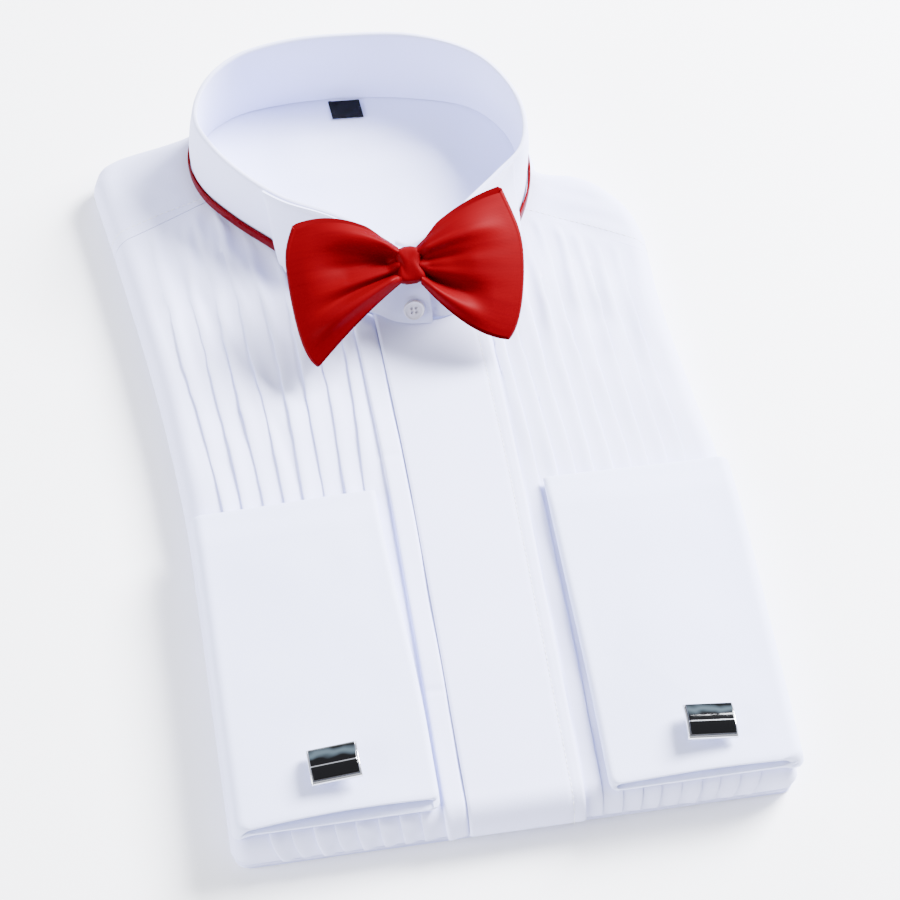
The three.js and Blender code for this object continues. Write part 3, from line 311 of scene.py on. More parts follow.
@dataclass(frozen=True)
class NeckLine:
    """The neck seam and what stands on it: the collar's foot, its rim and the wall between."""

    overlap: float = 0.022
    placket_share: float = 2.7 / 19

    def seam(self, share: np.ndarray) -> np.ndarray:
        """Plan points of the neck seam."""
        return closed_curve(COLLAR_ROWS[:, :2], share)

    def rim(self, share: np.ndarray) -> np.ndarray:
        """Points of the collar's rim."""
        return closed_curve(COLLAR_ROWS[:, 2:], share)

    def outward(self, share: np.ndarray) -> np.ndarray:
        """Level unit vectors that point out of the neck."""
        step = 0.0005
        along = self.seam(np.asarray(share) + step) - self.seam(np.asarray(share) - step)
        flat = np.stack([along[..., 1], -along[..., 0], np.zeros(along.shape[:-1])], axis=-1)
        return unit(flat)

    def foot(self, share: np.ndarray) -> np.ndarray:
        """Points where the stand meets the panels, raised over the placket."""
        plan = self.seam(share)
        turn = np.asarray(share) % 1.0
        front = np.minimum(turn, 1.0 - turn)
        over = 1.0 - smoothstep(front, self.placket_share * 0.8, self.placket_share)
        z = FORM.flat_z(plan[..., 0], plan[..., 1]) + PANEL_TOP + CLEARANCE + over * (PLACKET_WALL + CLEARANCE)
        return np.concatenate([plan, z[..., None]], axis=-1)

    def wall(self, share: np.ndarray, height: np.ndarray, depth: np.ndarray) -> np.ndarray:
        """Points of the stand's wall.

        Args:
            share: places round the neck.
            height: from 0 at the foot to 1 at the rim.
            depth: millimetres outwards from the middle of the wall.

        Returns:
            One point for each place.
        """
        share, height, depth = np.broadcast_arrays(share, height, depth)
        bulge = np.sin(math.pi * np.clip(height, 0, 1)) * 1.2
        straight = lerp(self.foot(share), self.rim(share), height[..., None])
        return straight + self.outward(share) * (depth + bulge)[..., None]

    def lap(self, share: np.ndarray) -> np.ndarray:
        """Depth that parts the two ends of the stand where they lap at the front."""
        depth = STAND_WALL / 2 + 0.2
        inside = -depth * (1 - smoothstep(share, self.overlap, self.overlap + 0.03))
        outside = depth * smoothstep(share, 1 - self.overlap - 0.03, 1 - self.overlap)
        return inside + outside

    def front_y(self, x: np.ndarray) -> np.ndarray:
        """The y where the front of the neck seam crosses this x."""
        line = self.seam(np.linspace(13 / 19 - 1, 5 / 19, 400))
        return np.interp(x, line[:, 0], line[:, 1], left=1e4, right=1e4)


NECK = NeckLine()


@dataclass(frozen=True)
class ShoulderSeam:
    """Where the front is sewn to the yoke, from the side fold to the neck."""

    outer: tuple[float, float]
    inner: tuple[float, float]
    half_gap: float = 0.25

    def y(self, x: np.ndarray) -> np.ndarray:
        """Where the seam is at this x."""
        slope = (self.inner[1] - self.outer[1]) / (self.inner[0] - self.outer[0])
        return self.outer[1] + (x - self.outer[0]) * slope

    def panel_end(self, x: np.ndarray) -> np.ndarray:
        """Where a front panel ends at this x: at the seam or at the neck."""
        return np.minimum(self.y(x), NECK.front_y(x) - 1.2) - self.half_gap


SEAMS = {
    Side.LEFT: ShoulderSeam((-128, 132), (-84, 149)),
    Side.RIGHT: ShoulderSeam((103, 92), (52, 122)),
}


@dataclass
class Shell:
    """A closed cloth wall: a grid of points outside, the same grid inside, and the edges between.

    With wraps the columns go all round, as on a tube. With capped the first row is sewn flat instead.
    """

    outer: np.ndarray
    inner: np.ndarray
    wraps: bool = False
    capped: bool = False

    def cut(self) -> tuple[float, float, float]:
        """Width, length and area in metres of the outside as a flat cut."""
        grid = np.concatenate([self.outer, self.outer[:, :1]], axis=1) if self.wraps else self.outer
        width = np.linalg.norm(np.diff(grid, axis=1), axis=2).sum(1).max() * MM
        length = np.linalg.norm(np.diff(grid, axis=0), axis=2).sum(0).max() * MM
        first = np.cross(grid[1:, :-1] - grid[:-1, :-1], grid[:-1, 1:] - grid[:-1, :-1])
        second = np.cross(grid[1:, :-1] - grid[1:, 1:], grid[:-1, 1:] - grid[1:, 1:])
        area = (np.linalg.norm(first, axis=2) + np.linalg.norm(second, axis=2)).sum() / 2 * MM * MM
        return float(width), float(length), float(min(area, width * length))

    def texture_grid(self) -> np.ndarray:
        """Texture coordinates in metres, by the cloth's own lengths."""
        grid = np.concatenate([self.outer, self.outer[:, :1]], axis=1) if self.wraps else self.outer
        across = np.linalg.norm(np.diff(grid, axis=1), axis=2).mean(0)
        along = np.linalg.norm(np.diff(grid, axis=0), axis=2).mean(1)
        u = np.concatenate([[0.0], np.cumsum(across)]) * MM
        v = np.concatenate([[0.0], np.cumsum(along)]) * MM
        return np.stack(np.meshgrid(u, v), axis=-1)

    def build(self, name: str) -> bpy.types.Object:
        """Makes the mesh object, in metres, with outward faces and texture coordinates."""
        rows, columns = self.outer.shape[:2]
        count = rows * columns
        points = np.concatenate([self.outer.reshape(-1, 3), self.inner.reshape(-1, 3)])
        wide = columns if self.wraps else columns - 1
        row, column = np.meshgrid(np.arange(rows - 1), np.arange(wide), indexing="ij")
        row, column = row.ravel(), column.ravel()
        after = (column + 1) % columns
        corners = [(row, column, column), (row, after, column + 1),
                   (row + 1, after, column + 1), (row + 1, column, column)]
        quads = np.stack([r * columns + c for r, c, _ in corners], axis=1)
        places = np.stack([np.stack([r, t], axis=-1) for r, _, t in corners], axis=1)
        faces = [quads, quads[:, ::-1] + count]
        textures = [places, places[:, ::-1]]

        def edge(cells: list[tuple[int, int]]) -> None:
            cells = np.array(cells)
            here, beyond = cells[:-1], cells[1:]
            index = here[:, 0] * columns + here[:, 1] % columns
            onward = beyond[:, 0] * columns + beyond[:, 1] % columns
            faces.append(np.stack([onward, index, index + count, onward + count], axis=1))
            textures.append(np.stack([beyond, here, here, beyond], axis=1))

        last = rows - 1
        if self.wraps:
            if not self.capped:
                edge([(0, c) for c in range(columns + 1)])
            edge([(last, c) for c in range(columns, -1, -1)])
        else:
            right = columns - 1
            edge([(0, c) for c in range(columns)] + [(r, right) for r in range(1, rows)]
                 + [(last, c) for c in range(right - 1, -1, -1)] + [(r, 0) for r in range(last - 1, -1, -1)])
        if self.capped:
            half = columns // 2
            near = np.arange(half - 1)
            far = columns - 1 - near
            cap = np.stack([near, far, far - 1, near + 1], axis=1)
            place = np.stack([np.zeros_like(cap), cap], axis=-1)
            faces += [cap, cap[:, ::-1] + count]
            textures += [place, place[:, ::-1]]
        quads, places = np.concatenate(faces), np.concatenate(textures)
        corner = points[quads]
        volume = (np.cross(corner[:, 0], corner[:, 1]) * corner[:, 2]).sum() + (
            np.cross(corner[:, 0], corner[:, 2]) * corner[:, 3]).sum()
        if volume < 0:
            quads, places = quads[:, ::-1], places[:, ::-1]
        texture = self.texture_grid()[places[..., 0], places[..., 1]]
        return make_mesh(name, points, quads.tolist(), texture.reshape(-1, 2))

    def line(self, row: Optional[int] = None, column: Optional[int] = None, lift: float = 0.0) -> np.ndarray:
        """Points along one row or column of the outside, lifted off it by some millimetres."""
        facing = self.outer - self.inner
        raised = self.outer + unit(facing) * lift
        return raised[row] if row is not None else raised[:, column]


def make_mesh(
    name: str, points: np.ndarray, faces: list, texture: Optional[np.ndarray] = None, sharp: float = 48.0
) -> bpy.types.Object:
    """Makes a smooth mesh object at the origin from plan points in millimetres.

    Args:
        name: the piece's name.
        points: one point a row, in the cutting plan.
        faces: lists of point numbers, outwards.
        texture: texture coordinates in metres, one for each corner of each face.
        sharp: the angle in degrees from which an edge stays crisp.

    Returns:
        The object, linked to the scene.
    """
    mesh = bpy.data.meshes.new(name)
    mesh.from_pydata(((points - PLAN_ORIGIN) * MM).tolist(), [], faces)
    if texture is not None:
        layer = mesh.uv_layers.new(name="UVMap")
        layer.data.foreach_set("uv", np.ascontiguousarray(texture, dtype=np.float32).ravel())
    mesh.validate()
    mesh.shade_smooth()
    mesh.set_sharp_from_angle(angle=math.radians(sharp))
    piece = bpy.data.objects.new(name, mesh)
    bpy.context.collection.objects.link(piece)
    return piece


def surface_normals(grid: np.ndarray, upward: bool = True) -> np.ndarray:
    """Unit normals of a grid of points, turned to the side that faces mostly up."""
    along = np.gradient(grid, axis=0)
    across = np.gradient(grid, axis=1)
    normals = unit(np.cross(across, along))
    mostly = np.sign(normals[..., 2].sum() or 1.0)
    return normals * (mostly if upward else 1.0)


def eased(count: int, dense: float = 0.0) -> np.ndarray:
    """Shares from 0 to 1 that lie closer together at both ends as dense goes to 1."""
    even = np.linspace(0, 1, count)
    return lerp(even, 0.5 - 0.5 * np.cos(math.pi * even), dense)


def srgb(colour: str) -> tuple[float, float, float, float]:
    """Turns a colour such as "#f4f5fc" into the linear one that a shader takes."""
    parts = [int(colour[index:index + 2], 16) / 255 for index in (1, 3, 5)]
    linear = [part / 12.92 if part <= 0.04045 else ((part + 0.055) / 1.055) ** 2.4 for part in parts]
    return (*linear, 1.0)


def add_node(tree: bpy.types.NodeTree, kind: str, inputs: Optional[dict] = None, **settings) -> bpy.types.Node:
    """Adds a node, sets its properties, and sets or links its inputs by name."""
    node = tree.nodes.new(kind)
    for key, value in settings.items():
        setattr(node, key, value)
    for key, value in (inputs or {}).items():
        if isinstance(value, bpy.types.NodeSocket):
            tree.links.new(value, node.inputs[key])
        else:
            node.inputs[key].default_value = value
    return node


def new_material(name: str) -> tuple[bpy.types.Material, bpy.types.NodeTree]:
    """Makes a material with an empty node tree."""
    material = bpy.data.materials.new(name)
    material.use_nodes = True
    material.node_tree.nodes.clear()
    return material, material.node_tree


def connect_surface(tree: bpy.types.NodeTree, shader: bpy.types.Node) -> None:
    """Leads a shader to the material's output."""
    output = add_node(tree, "ShaderNodeOutputMaterial")
    tree.links.new(shader.outputs[0], output.inputs["Surface"])


@dataclass(frozen=True)
class ClothFinish:
    """A woven cotton: two near tones that drift softly, a fine weave, and a little fuzz."""

    name: str
    light: str
    deep: str
    roughness: float = 0.85
    weave_pitch: float = 0.0006
    weave_depth: float = 0.00003
    drift_scale: float = 14.0
    sheen: float = 0.12
    specular: float = 0.25

    def make(self) -> bpy.types.Material:
        """Makes the material; the weave is coarser than the real 0.2 mm one so that it can be seen."""
        material, tree = new_material(self.name)
        place = add_node(tree, "ShaderNodeTexCoord")
        drift = add_node(tree, "ShaderNodeTexNoise", {
            "Vector": place.outputs["Object"], "Scale": self.drift_scale, "Detail": 2.0, "Roughness": 0.5})
        tone = add_node(tree, "ShaderNodeMix", {"Factor": drift.outputs["Fac"]}, data_type="RGBA")
        tone.inputs[6].default_value = srgb(self.deep)
        tone.inputs[7].default_value = srgb(self.light)
        scale = math.tau / self.weave_pitch / 20.0
        threads = [
            add_node(tree, "ShaderNodeTexWave", {
                "Vector": place.outputs["UV"], "Scale": scale, "Distortion": 1.5, "Detail": 1.0,
                "Detail Scale": 3.0}, wave_type="BANDS", bands_direction=direction)
            for direction in ("X", "Y")
        ]
        weave = add_node(tree, "ShaderNodeMath", operation="ADD")
        tree.links.new(threads[0].outputs["Fac"], weave.inputs[0])
        tree.links.new(threads[1].outputs["Fac"], weave.inputs[1])
        bump = add_node(tree, "ShaderNodeBump", {
            "Height": weave.outputs[0], "Strength": 0.35, "Distance": self.weave_depth})
        shader = add_node(tree, "ShaderNodeBsdfPrincipled", {
            "Base Color": tone.outputs[2], "Roughness": self.roughness, "Normal": bump.outputs["Normal"],
            "Sheen Weight": self.sheen, "Sheen Roughness": 0.5, "Specular IOR Level": self.specular})
        connect_surface(tree, shader)
        return material


@dataclass(frozen=True)
class SatinFinish:
    """A ribbed red satin: deep colour, a soft gloss, and streaks along the ribbon."""

    name: str
    light: str
    deep: str
    roughness: float = 0.42

    def make(self) -> bpy.types.Material:
        """Makes the material; its ribs are 0.5 mm apart, twice the real pitch."""
        material, tree = new_material(self.name)
        place = add_node(tree, "ShaderNodeTexCoord")
        stretch = add_node(tree, "ShaderNodeMapping", {
            "Vector": place.outputs["UV"], "Scale": (220.0, 14.0, 1.0)})
        streaks = add_node(tree, "ShaderNodeTexNoise", {
            "Vector": stretch.outputs["Vector"], "Scale": 3.0, "Detail": 3.0, "Roughness": 0.6})
        tone = add_node(tree, "ShaderNodeMix", {"Factor": streaks.outputs["Fac"]}, data_type="RGBA")
        tone.inputs[6].default_value = srgb(self.deep)
        tone.inputs[7].default_value = srgb(self.light)
        ribs = add_node(tree, "ShaderNodeTexWave", {
            "Vector": place.outputs["UV"], "Scale": math.tau / 0.0005 / 20.0, "Distortion": 0.6},
            wave_type="BANDS", bands_direction="X")
        bump = add_node(tree, "ShaderNodeBump", {
            "Height": ribs.outputs["Fac"], "Strength": 0.3, "Distance": 0.00003})
        shader = add_node(tree, "ShaderNodeBsdfPrincipled", {
            "Base Color": tone.outputs[2], "Roughness": self.roughness, "Normal": bump.outputs["Normal"],
            "Specular IOR Level": 0.07, "Specular Tint": srgb("#ff6a70"), "Anisotropic": 0.3})
        connect_surface(tree, shader)
        return material


@dataclass(frozen=True)
class EnamelFinish:
    """Black enamel with a painted reflection: a grey band with wavy edges across the face's upper part."""

    name: str
    dark: str
    painted_reflection_grey: str
    roughness: float = 0.07
    waviness: float = 0.5

    def make(self, height: float) -> bpy.types.Material:
        """Makes the material for a face of this height, in metres, measured up its texture."""
        material, tree = new_material(self.name)
        place = add_node(tree, "ShaderNodeTexCoord")
        swirl = add_node(tree, "ShaderNodeTexNoise", {
            "Vector": place.outputs["Object"], "Scale": 110.0, "Detail": 1.5})
        parts = add_node(tree, "ShaderNodeSeparateXYZ", {"Vector": place.outputs["UV"]})
        sway = add_node(tree, "ShaderNodeMapRange", {
            "Value": swirl.outputs["Fac"], "To Min": -self.waviness / 2, "To Max": self.waviness / 2})
        rise = add_node(tree, "ShaderNodeMath", {1: 1 / height, 2: sway.outputs["Result"]}, operation="MULTIPLY_ADD")
        tree.links.new(parts.outputs["Y"], rise.inputs[0])
        # Painted reflection: the ramp puts a grey band across the face's upper part, black above and below it.
        tone = add_node(tree, "ShaderNodeValToRGB", {"Fac": rise.outputs[0]})
        tone.color_ramp.elements[0].position = 0.6
        tone.color_ramp.elements[0].color = srgb(self.dark)
        tone.color_ramp.elements[1].position = 0.98
        tone.color_ramp.elements[1].color = srgb(self.dark)
        for position in (0.76, 0.82):
            tone.color_ramp.elements.new(position).color = srgb(self.painted_reflection_grey)
        ripple = add_node(tree, "ShaderNodeBump", {
            "Height": swirl.outputs["Fac"], "Strength": 0.4, "Distance": 0.0003})
        shader = add_node(tree, "ShaderNodeBsdfPrincipled", {
            "Base Color": tone.outputs["Color"], "Roughness": self.roughness, "Normal": ripple.outputs["Normal"],
            "Specular IOR Level": 0.3})
        connect_surface(tree, shader)
        return material


@dataclass(frozen=True)
class HardFinish:
    """A smooth hard stuff, such as enamel, silver or a shell-white button."""

    name: str
    colour: str
    roughness: float
    metallic: float = 0.0
    coat: float = 0.0
    ripple_scale: float = 60.0
    ripple_depth: float = 0.0001
    specular: float = 0.5

    def make(self) -> bpy.types.Material:
        """Makes the material; a slow ripple bends what it mirrors."""
        material, tree = new_material(self.name)
        place = add_node(tree, "ShaderNodeTexCoord")
        ripple = add_node(tree, "ShaderNodeTexNoise", {
            "Vector": place.outputs["Object"], "Scale": self.ripple_scale, "Detail": 1.0})
        bump = add_node(tree, "ShaderNodeBump", {
            "Height": ripple.outputs["Fac"], "Strength": 0.5, "Distance": self.ripple_depth})
        wear = add_node(tree, "ShaderNodeMapRange", {
            "Value": ripple.outputs["Fac"], "To Min": self.roughness * 0.8, "To Max": self.roughness * 1.25})
        shader = add_node(tree, "ShaderNodeBsdfPrincipled", {
            "Base Color": srgb(self.colour), "Roughness": wear.outputs["Result"], "Metallic": self.metallic,
            "Coat Weight": self.coat, "Coat Roughness": 0.03, "Normal": bump.outputs["Normal"],
            "Specular IOR Level": self.specular})
        connect_surface(tree, shader)
        return material


@dataclass
class Wardrobe:
    """Every finish of the shirt, made once."""

    poplin: bpy.types.Material = field(init=False)
    cuff_poplin: bpy.types.Material = field(init=False)
    lining: bpy.types.Material = field(init=False)
    thread: bpy.types.Material = field(init=False)
    satin: bpy.types.Material = field(init=False)
    woven_label: bpy.types.Material = field(init=False)
    button: bpy.types.Material = field(init=False)
    enamel: bpy.types.Material = field(init=False)
    silver: bpy.types.Material = field(init=False)

    def __post_init__(self) -> None:
        self.poplin = ClothFinish("white_cotton_poplin", "#dcdfff", "#d2d6fb").make()
        self.cuff_poplin = ClothFinish("pressed_double_poplin", "#dadfff", "#d0d6fb", 0.8).make()
        self.lining = ClothFinish("poplin_wrong_side", "#dce0ff", "#d2d7f9", 0.9).make()
        self.thread = ClothFinish("white_cotton_thread", "#f4f4f8", "#e6e7ee", 0.7, 0.0004).make()
        self.satin = SatinFinish("red_ribbed_satin", "#5d0006", "#500005").make()
        self.woven_label = ClothFinish(
            "black_damask_label", "#0a0a0d", "#050507", 0.55, 0.0005, 0.00006, 200.0, 0.0, 0.12).make()
        self.button = HardFinish("white_shell_button", "#d9d6e0", 0.3, 0.0, 0.2, 200.0, 0.00002).make()
        # The enamel's second colour is a painted reflection, a grey band across the face.
        self.enamel = EnamelFinish("black_enamel", "#020203", "#353f45").make(0.0142)
        self.silver = HardFinish("polished_silver", "#dcdde2", 0.14, 1.0, 0.0, 90.0, 0.0001).make()


def wear_material(piece: bpy.types.Object, *materials: bpy.types.Material) -> None:
    """Gives a piece its materials, in the order of its faces' material numbers."""
    piece.data.materials.clear()
    for material in materials:
        piece.data.materials.append(material)


class Hold(Enum):
    """How a sheet of cloth is held."""

    FOLDED = "folded"
    LAID = "laid"
    DRAPED = "draped"
    GATHERED = "gathered"
    STRETCHED = "stretched"


@dataclass
class Garment:
    """Collects the pieces of the shirt, and attaches each one to the shirt's body."""

    finishes: Wardrobe
    made: list[bpy.types.Object] = field(default_factory=list)

    def add(
        self,
        piece: bpy.types.Object,
        slot: str,
        materials: Sequence[bpy.types.Material],
        stands_for: Sequence[str] = (),
    ) -> bpy.types.Object:
        """Finishes a piece and lets it ride on the shirt's one body.

        Args:
            piece: the mesh object.
            slot: a name for its material slot, which is only logged.
            materials: its materials.
            stands_for: the CAD nodes that it is shown instead of.

        Returns:
            The same piece.
        """
        wear_material(piece, *materials)
        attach(piece, "root")
        if stands_for:
            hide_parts(*stands_for)
        self.made.append(piece)
        LOG.info("%s: %d faces, slot %s", piece.name, len(piece.data.polygons), slot)
        return piece

    def add_cloth(
        self,
        name: str,
        shell: Shell,
        node: str,
        held: Hold,
        rests_on: Sequence[str],
        material: Optional[bpy.types.Material] = None,
        slot: str = "cotton",
    ) -> bpy.types.Object:
        """Adds a sheet of cloth in place of a CAD node, and logs its flat cut."""
        piece = shell.build(name)
        self.add(piece, slot, [material or self.finishes.poplin], [node])
        width, length, area = shell.cut()
        width, length = max(width, LEAST_CUT), max(length, LEAST_CUT)
        LOG.info("%s: cut %.0f x %.0f mm, %.4f m2", name, width * 1000, length * 1000, area)
        return piece


@dataclass(frozen=True)
class StitchRow:
    """A row of machine stitches, instanced along a line by a Geometry Nodes tree."""

    pitch: float = 2.6
    length: float = 1.9
    thread: float = 0.3

    def tree(self, material: bpy.types.Material) -> bpy.types.NodeTree:
        """Makes the tree: a line, resampled, with a short length of thread on each point."""
        tree = bpy.data.node_groups.new("stitch_row", "GeometryNodeTree")
        face = tree.interface
        face.new_socket("Line", in_out="INPUT", socket_type="NodeSocketGeometry")
        for name, value in (("Pitch", self.pitch), ("Length", self.length), ("Thread", self.thread)):
            socket = face.new_socket(name, in_out="INPUT", socket_type="NodeSocketFloat")
            socket.default_value = value * MM
        face.new_socket("Stitches", in_out="OUTPUT", socket_type="NodeSocketGeometry")
        start = add_node(tree, "NodeGroupInput")
        curve = add_node(tree, "GeometryNodeMeshToCurve", {"Mesh": start.outputs["Line"]})
        points = add_node(tree, "GeometryNodeCurveToPoints", {
            "Curve": curve.outputs["Curve"], "Length": start.outputs["Pitch"]}, mode="LENGTH")
        radius = add_node(tree, "ShaderNodeMath", operation="MULTIPLY")
        tree.links.new(start.outputs["Thread"], radius.inputs[0])
        radius.inputs[1].default_value = 0.5
        thread = add_node(tree, "GeometryNodeMeshCylinder", {
            "Vertices": 6, "Side Segments": 1, "Radius": radius.outputs[0], "Depth": start.outputs["Length"]})
        turn = add_node(tree, "FunctionNodeAlignRotationToVector", {
            "Vector": points.outputs["Tangent"]}, axis="Z")
        uneven = add_node(tree, "FunctionNodeRandomValue", {"Seed": 7}, data_type="FLOAT")
        uneven.inputs[2].default_value = 0.88
        uneven.inputs[3].default_value = 1.08
        copies = add_node(tree, "GeometryNodeInstanceOnPoints", {
            "Points": points.outputs["Points"], "Instance": thread.outputs["Mesh"],
            "Rotation": turn.outputs["Rotation"], "Scale": uneven.outputs[1]})
        solid = add_node(tree, "GeometryNodeRealizeInstances", {"Geometry": copies.outputs["Instances"]})
        finished = add_node(tree, "GeometryNodeSetMaterial", {
            "Geometry": solid.outputs["Geometry"], "Material": material})
        end = add_node(tree, "NodeGroupOutput")
        tree.links.new(finished.outputs["Geometry"], end.inputs["Stitches"])
        return tree

    def sew(self, name: str, lines: Sequence[np.ndarray], material: bpy.types.Material) -> bpy.types.Object:
        """Sews stitches along lines.

        Args:
            name: the piece's name.
            lines: each a list of plan points that the row follows.
            material: the thread's finish.

        Returns:
            One mesh object with every stitch.
        """
        points, edges = [], []
        for line in lines:
            edges += [(len(points) + step, len(points) + step + 1) for step in range(len(line) - 1)]
            points += ((line - PLAN_ORIGIN) * MM).tolist()
        mesh = bpy.data.meshes.new(f"{name}_line")
        mesh.from_pydata(points, edges, [])
        guide = bpy.data.objects.new(f"{name}_guide", mesh)
        bpy.context.collection.objects.link(guide)
        modifier = guide.modifiers.new("stitches", "NODES")
        modifier.node_group = self.tree(material)
        sockets = {item.name: item.identifier for item in modifier.node_group.interface.items_tree}
        for key, value in (("Pitch", self.pitch), ("Length", self.length), ("Thread", self.thread)):
            modifier[sockets[key]] = value * MM
        depsgraph = bpy.context.evaluated_depsgraph_get()
        finished = bpy.data.meshes.new_from_object(guide.evaluated_get(depsgraph))
        finished.name = name
        finished.shade_smooth()
        bpy.data.objects.remove(guide)
        piece = bpy.data.objects.new(name, finished)
        bpy.context.collection.objects.link(piece)
        return piece


@dataclass(frozen=True)
class Pleats:
    """The pleats of one half of the bib, by shares of the panel's width from the placket outwards."""

    first: float
    pitch: float
    count: int
    spread: float
    height: float = 1.25
    lip_over: float = 0.4

    @property
    def middle(self) -> float:
        """The share about which the pleats open upwards."""
        return self.first + self.pitch * self.count / 2

    def opened(self, share: np.ndarray, y: np.ndarray) -> np.ndarray:
        """Where a share of the bottom width lies further up, as the pleats fan out."""
        fan = 1 + self.spread * smoothstep(y, -20, 60) * (1 - 0.5 * smoothstep(y, 60, 140))
        return self.middle + (share - self.middle) * fan


PLEATS = {
    Side.LEFT: Pleats(0.197, 0.0925, 8, 0.1),
    Side.RIGHT: Pleats(0.081, 0.0936, 9, 0.04, 0.8, 0.25),
}

# A pleat's profile: place in pitches from its lip outwards, share of its height, share of the overhang
PLEAT_PROFILE = np.array([
    (-0.86, 0.03, 0), (-0.7, 0.1, 0), (-0.55, 0.26, 0), (-0.42, 0.5, 0), (-0.3, 0.74, 0), (-0.2, 0.9, 0),
    (-0.12, 0.98, 0), (-0.05, 1.0, 0.1), (-0.01, 0.97, 0.7), (0.012, 0.8, 1), (0.016, 0.55, 0.9),
    (0.01, 0.28, 0.4), (0.012, 0.08, 0), (0.03, -0.02, 0), (0.07, 0.0, 0),
])


@dataclass
class FrontPanel:
    """One half of the front: a pleated bib that runs from the bottom fold up to the yoke.

    The cloth turns under the placket on one side and round the side fold on the other.
    """

    side: Side
    creases: Sequence[Crease]
    rows: int = 176
    placket_x: float = field(init=False)

    def __post_init__(self) -> None:
        self.placket_x = -19.0 if self.side is Side.LEFT else 28.0

    def columns(self) -> np.ndarray:
        """The columns as rows of: kind, place, height, overhang, pleat number.

        Kind 0 is under the placket, 1 on the bib and 2 round the side fold.
        """
        pleats = PLEATS[self.side]
        found = [(0, place, 0, 0, -1) for place in (0, 0.3, 0.6, 0.85, 1)]
        if self.side is Side.LEFT:
            strip = [(0.006, 0.6), (0.014, 1.3), (0.022, 1.45), (0.045, 1.6), (0.07, 2.0), (0.086, 2.25),
                     (0.094, 2.15), (0.099, 1.7), (0.1, 0.9), (0.1, 0.25), (0.104, -0.1), (0.112, 0.0)]
            found += [(1, place, height, 0, -2) for place, height in strip]
        else:
            found += [(1, place, 0, 0, -2) for place in (0.006, 0.015)]
        for number in range(pleats.count):
            lip = pleats.first + pleats.pitch * number
            for place, height, over in PLEAT_PROFILE:
                share = lip + pleats.pitch * place
                if share > found[-1][1] + 0.002 or place > -0.1:
                    found.append((1, share, height * pleats.height, over * pleats.lip_over, number))
        last = found[-1][1]
        found += [(1, place, 0, 0, -2) for place in np.linspace(last + 0.008, 0.935, 3) if place > last]
        turns = np.linspace(0, 1, 11)
        found += [(2, place, 0, 0, -3) for place in turns]
        return np.array(found, float)

    def plan_x(self, columns: np.ndarray, y: np.ndarray) -> np.ndarray:
        """The x of every column at the given y."""
        sign = self.side.sign
        pleats = PLEATS[self.side]
        kind, place = columns[:, 0], columns[:, 1]
        shift = FORM.lean(y) * 0.35
        placket = shift + self.placket_x
        edge = FORM.edge_x(y, self.side)
        under = lerp(shift + 4.0 + sign * 0.25, placket, place)
        share = np.where(columns[:, 4] == -2, place, pleats.opened(place, y))
        share = np.where((columns[:, 4] == -2) & (place > 0.5), pleats.opened(place, y), share)
        bib = lerp(placket, edge, share)
        wobble = 0.5 * np.sin(y / 23.0 + columns[:, 4] * 1.9) + 0.22 * np.sin(y / 8.7 + columns[:, 4] * 4.1)
        wobble = wobble + 0.2 * np.sin(y / 2.3 + columns[:, 4] * 5.3) * np.sin(y / 13.0 + columns[:, 4])
        wobble = wobble * (0.35 + 0.65 * smoothstep(y, 5, 60))
        bib = np.where(columns[:, 4] >= 0, bib + wobble, bib)
        inner_edge = edge - sign * (FORM.reach + 0.5 + (0.97 - np.minimum(place, 0.97)) * 4.0)
        bib = np.maximum(bib, inner_edge) if sign < 0 else np.minimum(bib, inner_edge)
        fold = edge - sign * FORM.reach * (1 - np.sin(place * math.pi / 2))
        return np.select([kind == 0, kind == 1], [under, bib], fold)

    def shell(self) -> Shell:
        """The panel's wall, pleats and soft folds included."""
        columns = self.columns()
        ends = np.full(len(columns), 100.0)
        seam = SEAMS[self.side]
        for _ in range(18):
            ends = lerp(ends, seam.panel_end(self.plan_x(columns, ends)), 0.6)
        ends = np.minimum(ends, seam.panel_end(self.plan_x(columns, ends)) + 0.2)
        turns = np.linspace(1, 0, 10)
        fold_y = FORM.bottom_y + FORM.reach * (1 - np.sin(turns * math.pi / 2))
        flat = np.linspace(0, 1, self.rows - len(turns) + 1)[1:]
        y = np.concatenate([
            np.broadcast_to(fold_y[:, None], (len(turns), len(columns))),
            lerp(fold_y[-1], ends[None, :], flat[:, None]),
        ])
        x = np.stack([self.plan_x(columns, line) for line in y])
        points, normals = FORM.skin(x, y)
        relief = self.relief(columns, x, y, ends)
        sideways = np.broadcast_to(columns[:, 3] * self.side.sign, x.shape)
        crisp = self.crispness(y)
        flank = np.zeros_like(points)
        flank[..., 0] = sideways * crisp
        outer = points + normals * (PANEL_TOP + relief)[..., None] + flank
        folds = np.maximum(lift_all(self.creases, x, y), -0.2) * self.calm(columns, x, y, ends)
        inner = points + normals * (CLEARANCE + np.maximum(0, folds) * 0.85)[..., None]
        if self.side is Side.LEFT:
            return Shell(outer[:, ::-1], inner[:, ::-1])
        return Shell(outer, inner)

    def crispness(self, y: np.ndarray) -> np.ndarray:
        """How sharply the pleats are pressed: fully on the lower front, hardly near the yoke."""
        return 1.0 - smoothstep(y, 48, 100)

    def calm(self, columns: np.ndarray, x: np.ndarray, y: np.ndarray, ends: np.ndarray) -> np.ndarray:
        """Where the cloth is free to lift: not at seams, nor at the folded edges."""
        to_end = smoothstep(ends[None, :] - y, 0.5, 9)
        distance, _ = FORM.nearest(x, y)
        off_edge = smoothstep(distance, 0.5, 9.0)
        on_bib = np.where(columns[:, 0] == 0, 0.0, 1.0)
        return to_end * off_edge * on_bib

